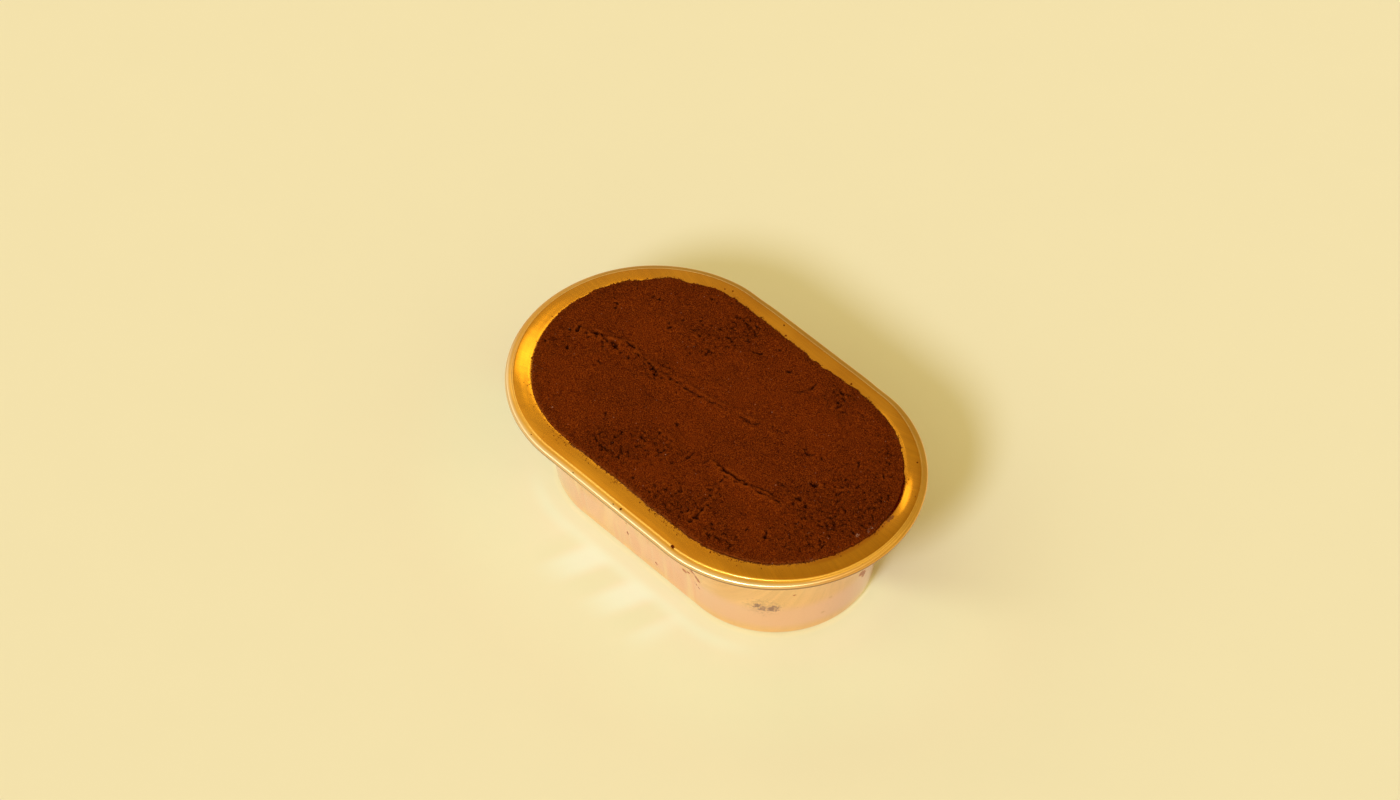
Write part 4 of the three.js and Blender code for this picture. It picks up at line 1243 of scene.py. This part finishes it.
lumps = {
    "kinds": 5, "belowTop": 0.02, "clumpBelowTop": 0.05, "clumpSize": 0.92, "spillCount": 6500,
    "modelSpacing": 7, "noiseScale": 0.9, "moteDepth": 0.9, "moteSpread": 0.35,
    "spillReach": 0.22, "spillNear": 0.28, "spillSize": (0.07, 0.13, 1.5),  # least, how much more, power
    "tries": 12, "thinning": 1.7, "inside": 0.25, "edgeFade": (0.5, 4),
    "bits": (520, 62, 1.2, 0.3, 0.75, 2.0),  # count, seed, share at the edge, least and greatest size, power
    "grains": (8500, 64, 1.0, 0.16, 0.42, 1.7),
    "dust": (16000, 66, 0.6, 0.10, 0.24, 1.2),
    "crumbs": [  # x, y and radius of specks of cocoa on the flange and the rim
        (-62.3, -21.8, 0.28), (-62.4, -25.9, 0.36), (30.4, -48.4, 0.55), (6.5, -49.3, 0.35),
        (3.2, -49.6, 0.2),
        (-16, -49.9, 0.2), (-38, -48.6, 0.2), (14, -43.5, 0.22), (16.5, -43.2, 0.25), (9.5, -43.4, 0.2),
        (28, -44.2, 0.2), (41, -41.5, 0.22), (-14, 46.5, 0.25), (-37.5, 44.9, 0.25), (-40, 43.6, 0.22),
        (21, 43.9, 0.3), (-10, 43.4, 0.3), (-62, 27.6, 0.22), (70.5, 24.2, 0.2), (60.6, 35.3, 0.25),
    ],
}


# one rough lump of about 1 mm radius, crumbled by a noise that differs from kind to kind
def modelLump(name, detail, number, crumble):
    deselectAll()
    aside = number * lumps["modelSpacing"] * mm
    bpy.ops.mesh.primitive_ico_sphere_add(subdivisions=detail, radius=mm, location=(aside, 0, 0))
    lump = nameMade(name)
    bpy.ops.object.transform_apply(location=True)
    texture = bpy.data.textures.new(name, "CLOUDS")
    texture.noise_scale = lumps["noiseScale"] * mm
    texture.noise_depth = 2
    modifier = lump.modifiers.new("Crumble", "DISPLACE")
    modifier.texture = texture
    modifier.texture_coords = "LOCAL"
    modifier.strength = crumble * mm
    modifier.mid_level = 0.5
    applyModifiers(lump)
    editAll()
    bpy.ops.transform.translate(value=(-aside, 0, 0))
    bpy.ops.object.mode_set(mode="OBJECT")
    return lump


# copies the kinds to their places as one mesh: x, y, z, size and flatness in each row
def scatter(name, kinds, places, seed):
    draw = np.random.default_rng(seed)
    count = len(places)
    choice = draw.integers(len(kinds), size=count)
    turn, tilt = draw.uniform(0, 2 * math.pi, (count, 1)), draw.uniform(0, math.pi, (count, 1))
    stretch = 1 + 0.35 * draw.random((count, 1))
    allPoints, allFaces, start = [], [], 0
    for number, kind in enumerate(kinds):
        chosen = choice == number
        x, y, z = readPoints(kind).T[:, None, :]
        cosTilt, sinTilt = np.cos(tilt[chosen]), np.sin(tilt[chosen])
        cosTurn, sinTurn = np.cos(turn[chosen]), np.sin(turn[chosen])
        long, wide = x * stretch[chosen], y * cosTilt - z * sinTilt
        tall = (y * sinTilt + z * cosTilt) * places[chosen, 4:5]
        turned = np.stack([long * cosTurn - wide * sinTurn, long * sinTurn + wide * cosTurn, tall], axis=2)
        points = turned * places[chosen, 3, None, None] + places[chosen, None, :3]
        corners = np.empty(len(kind.data.loops), dtype=int)
        kind.data.loops.foreach_get("vertex_index", corners)
        steps = np.arange(chosen.sum())[:, None] * points.shape[1]
        allPoints.append(points.reshape(-1, 3))
        allFaces.append((steps + corners[None, :] + start).reshape(-1, 3))
        start += chosen.sum() * points.shape[1]
    points = np.concatenate(allPoints)
    points[:, 2] = np.minimum(points[:, 2], topLimit - lumps["belowTop"])
    mesh = bpy.data.meshes.new(name)
    mesh.from_pydata((points * mm).tolist(), [], np.concatenate(allFaces).tolist())
    piece = bpy.data.objects.new(name, mesh)
    bpy.context.scene.collection.objects.link(piece)
    return piece


def finishScatter(piece, material, angle):
    piece.data.materials.append(material)
    pick(piece)
    bpy.ops.object.shade_smooth_by_angle(angle=math.radians(angle))
    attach(piece, "root")


# the smallest grains have only eight faces
def modelMote(name, number):
    deselectAll()
    bpy.ops.mesh.primitive_cone_add(vertices=4, radius1=mm, radius2=0, depth=lumps["moteDepth"] * mm,
                                    end_fill_type="TRIFAN")
    mote = nameMade(name)
    points = readPoints(mote)
    below = (np.hypot(points[:, 0], points[:, 1]) < 0.01) & (points[:, 2] < 0)
    points[below, 2] -= lumps["moteDepth"]
    writePoints(mote, points)
    editAll()
    bpy.ops.transform.vertex_random(offset=lumps["moteSpread"] * mm, seed=number)
    bpy.ops.object.mode_set(mode="OBJECT")
    return mote


# powder that has fallen on the flange beside the cocoa, most of it on the near side
def spilledSpots(count, seed):
    draw = np.random.default_rng(seed)
    turn = draw.uniform(-math.pi, math.pi, count)
    onSide = draw.random(count) < 2 * halfStraight / (2 * halfStraight + math.pi * cocoaRim)
    along = draw.uniform(-halfStraight, halfStraight, count)
    foot = np.where(onSide, along, np.sign(np.cos(turn)) * halfStraight)
    outX = np.where(onSide, 0, np.cos(turn))
    outY = np.where(onSide, np.sign(turn), np.sin(turn))
    near = smoothStep(-outY, 0.2, 0.8)
    x, y = foot + outX * cocoaRim, outY * cocoaRim
    away = draw.exponential(lumps["spillReach"] + lumps["spillNear"] * near)
    away *= 0.5 + smoothStep(softNoise(x, y, 3, 43), -0.4, 0.8)
    radius = np.minimum(cocoaEdgeRadius(x, y) - 0.15 + away, outerRadius - tray["shoulderInset"])
    least, more, power = lumps["spillSize"]
    return foot + outX * radius, outY * radius, least + more * draw.random(count) ** power


# random spots on the cocoa, thicker where it is rough and along its edge
def cocoaSpots(count, seed, edgeShare, low, high, power):
    draw = np.random.default_rng(seed)
    x = draw.uniform(-halfStraight - cocoaRim, halfStraight + cocoaRim, count * lumps["tries"])
    y = draw.uniform(-cocoaRim, cocoaRim, count * lumps["tries"])
    _, radius, _, outY = ovalCoordinates(x, y)
    fromEdge = cocoaEdgeRadius(x, y) - radius
    chance = zoneRoughness(x, y) ** 2 / lumps["thinning"]
    nearSide = 0.4 + 0.6 * smoothStep(-outY, -0.3, 0.6)
    chance += edgeShare * (1 - smoothStep(fromEdge, *lumps["edgeFade"])) * nearSide
    keep = (fromEdge > lumps["inside"]) & (draw.random(len(x)) < chance)
    x, y = x[keep][:count], y[keep][:count]
    size = low + (high - low) * draw.random(len(x)) ** power
    return x, y, size


def surfaceHeight(x, y):
    return coveredHeight(x, y, *ovalCoordinates(x, y)[1:])


def makeLumps(spec):
    material = cocoaPiece.data.materials[0]

    def modelKinds(name, detail, first, crumble):
        return [modelLump(f"{name}{i}", detail, i + first, crumble) for i in range(spec["kinds"])]

    def lay(name, kinds, x, y, z, size, flatness, seed, angle):
        places = np.stack([x, y, z, size, np.full(len(x), flatness)], axis=1)
        piece = scatter(name, kinds, places, seed)
        finishScatter(piece, material, angle)
        return piece

    big = modelKinds("bigLump", 4, 1, 0.9)
    x, y, size = np.array(cocoa["clumps"]).T
    z = surfaceHeight(x, y) - 0.15 * size
    z = np.minimum(z, topLimit - spec["clumpBelowTop"] - 0.95 * size)
    clumps = lay("cocoaClumps", big, x, y, z, size * spec["clumpSize"], 0.7, 61, 180)

    small = modelKinds("smallLump", 2, 11, 1.0)
    x, y, size = cocoaSpots(*spec["bits"])
    bits = lay("cocoaBits", small, x, y, surfaceHeight(x, y) - 0.1 * size, size, 0.75, 63, 60)

    tiny = modelKinds("grain", 1, 21, 0.9)
    x, y, size = cocoaSpots(*spec["grains"])
    grains = lay("cocoaGrains", tiny, x, y, surfaceHeight(x, y), size, 0.9, 65, 30)

    motes = [modelMote(f"mote{i}", i + 31) for i in range(spec["kinds"])]
    x, y, size = cocoaSpots(*spec["dust"])
    spillX, spillY, spillSize = spilledSpots(spec["spillCount"], 67)
    z = np.concatenate([surfaceHeight(x, y) + 0.03, flangeHeight(spillX, spillY) + 0.4 * spillSize])
    x, y, size = np.concatenate([x, spillX]), np.concatenate([y, spillY]), np.concatenate([size, spillSize])
    dust = lay("cocoaDust", motes, x, y, z, size, 0.9, 68, 30)

    x, y, size = np.array(spec["crumbs"]).T
    onBead = outerRadius - ovalCoordinates(x, y)[1] < 2.1
    z = np.where(onBead, tray["beadHeight"] + tray["beadRise"], flangeHeight(x, y))
    crumbs = lay("rimCrumbs", small, x, y, z + 0.3 * size, size, 0.8, 69, 60)
    for kind in big + small + tiny + motes:
        bpy.data.objects.remove(kind)
    return clumps, bits, grains, dust, crumbs


lumpPieces = makeLumps(lumps)
print("clumps and grains laid:", [len(piece.data.polygons) for piece in lumpPieces])
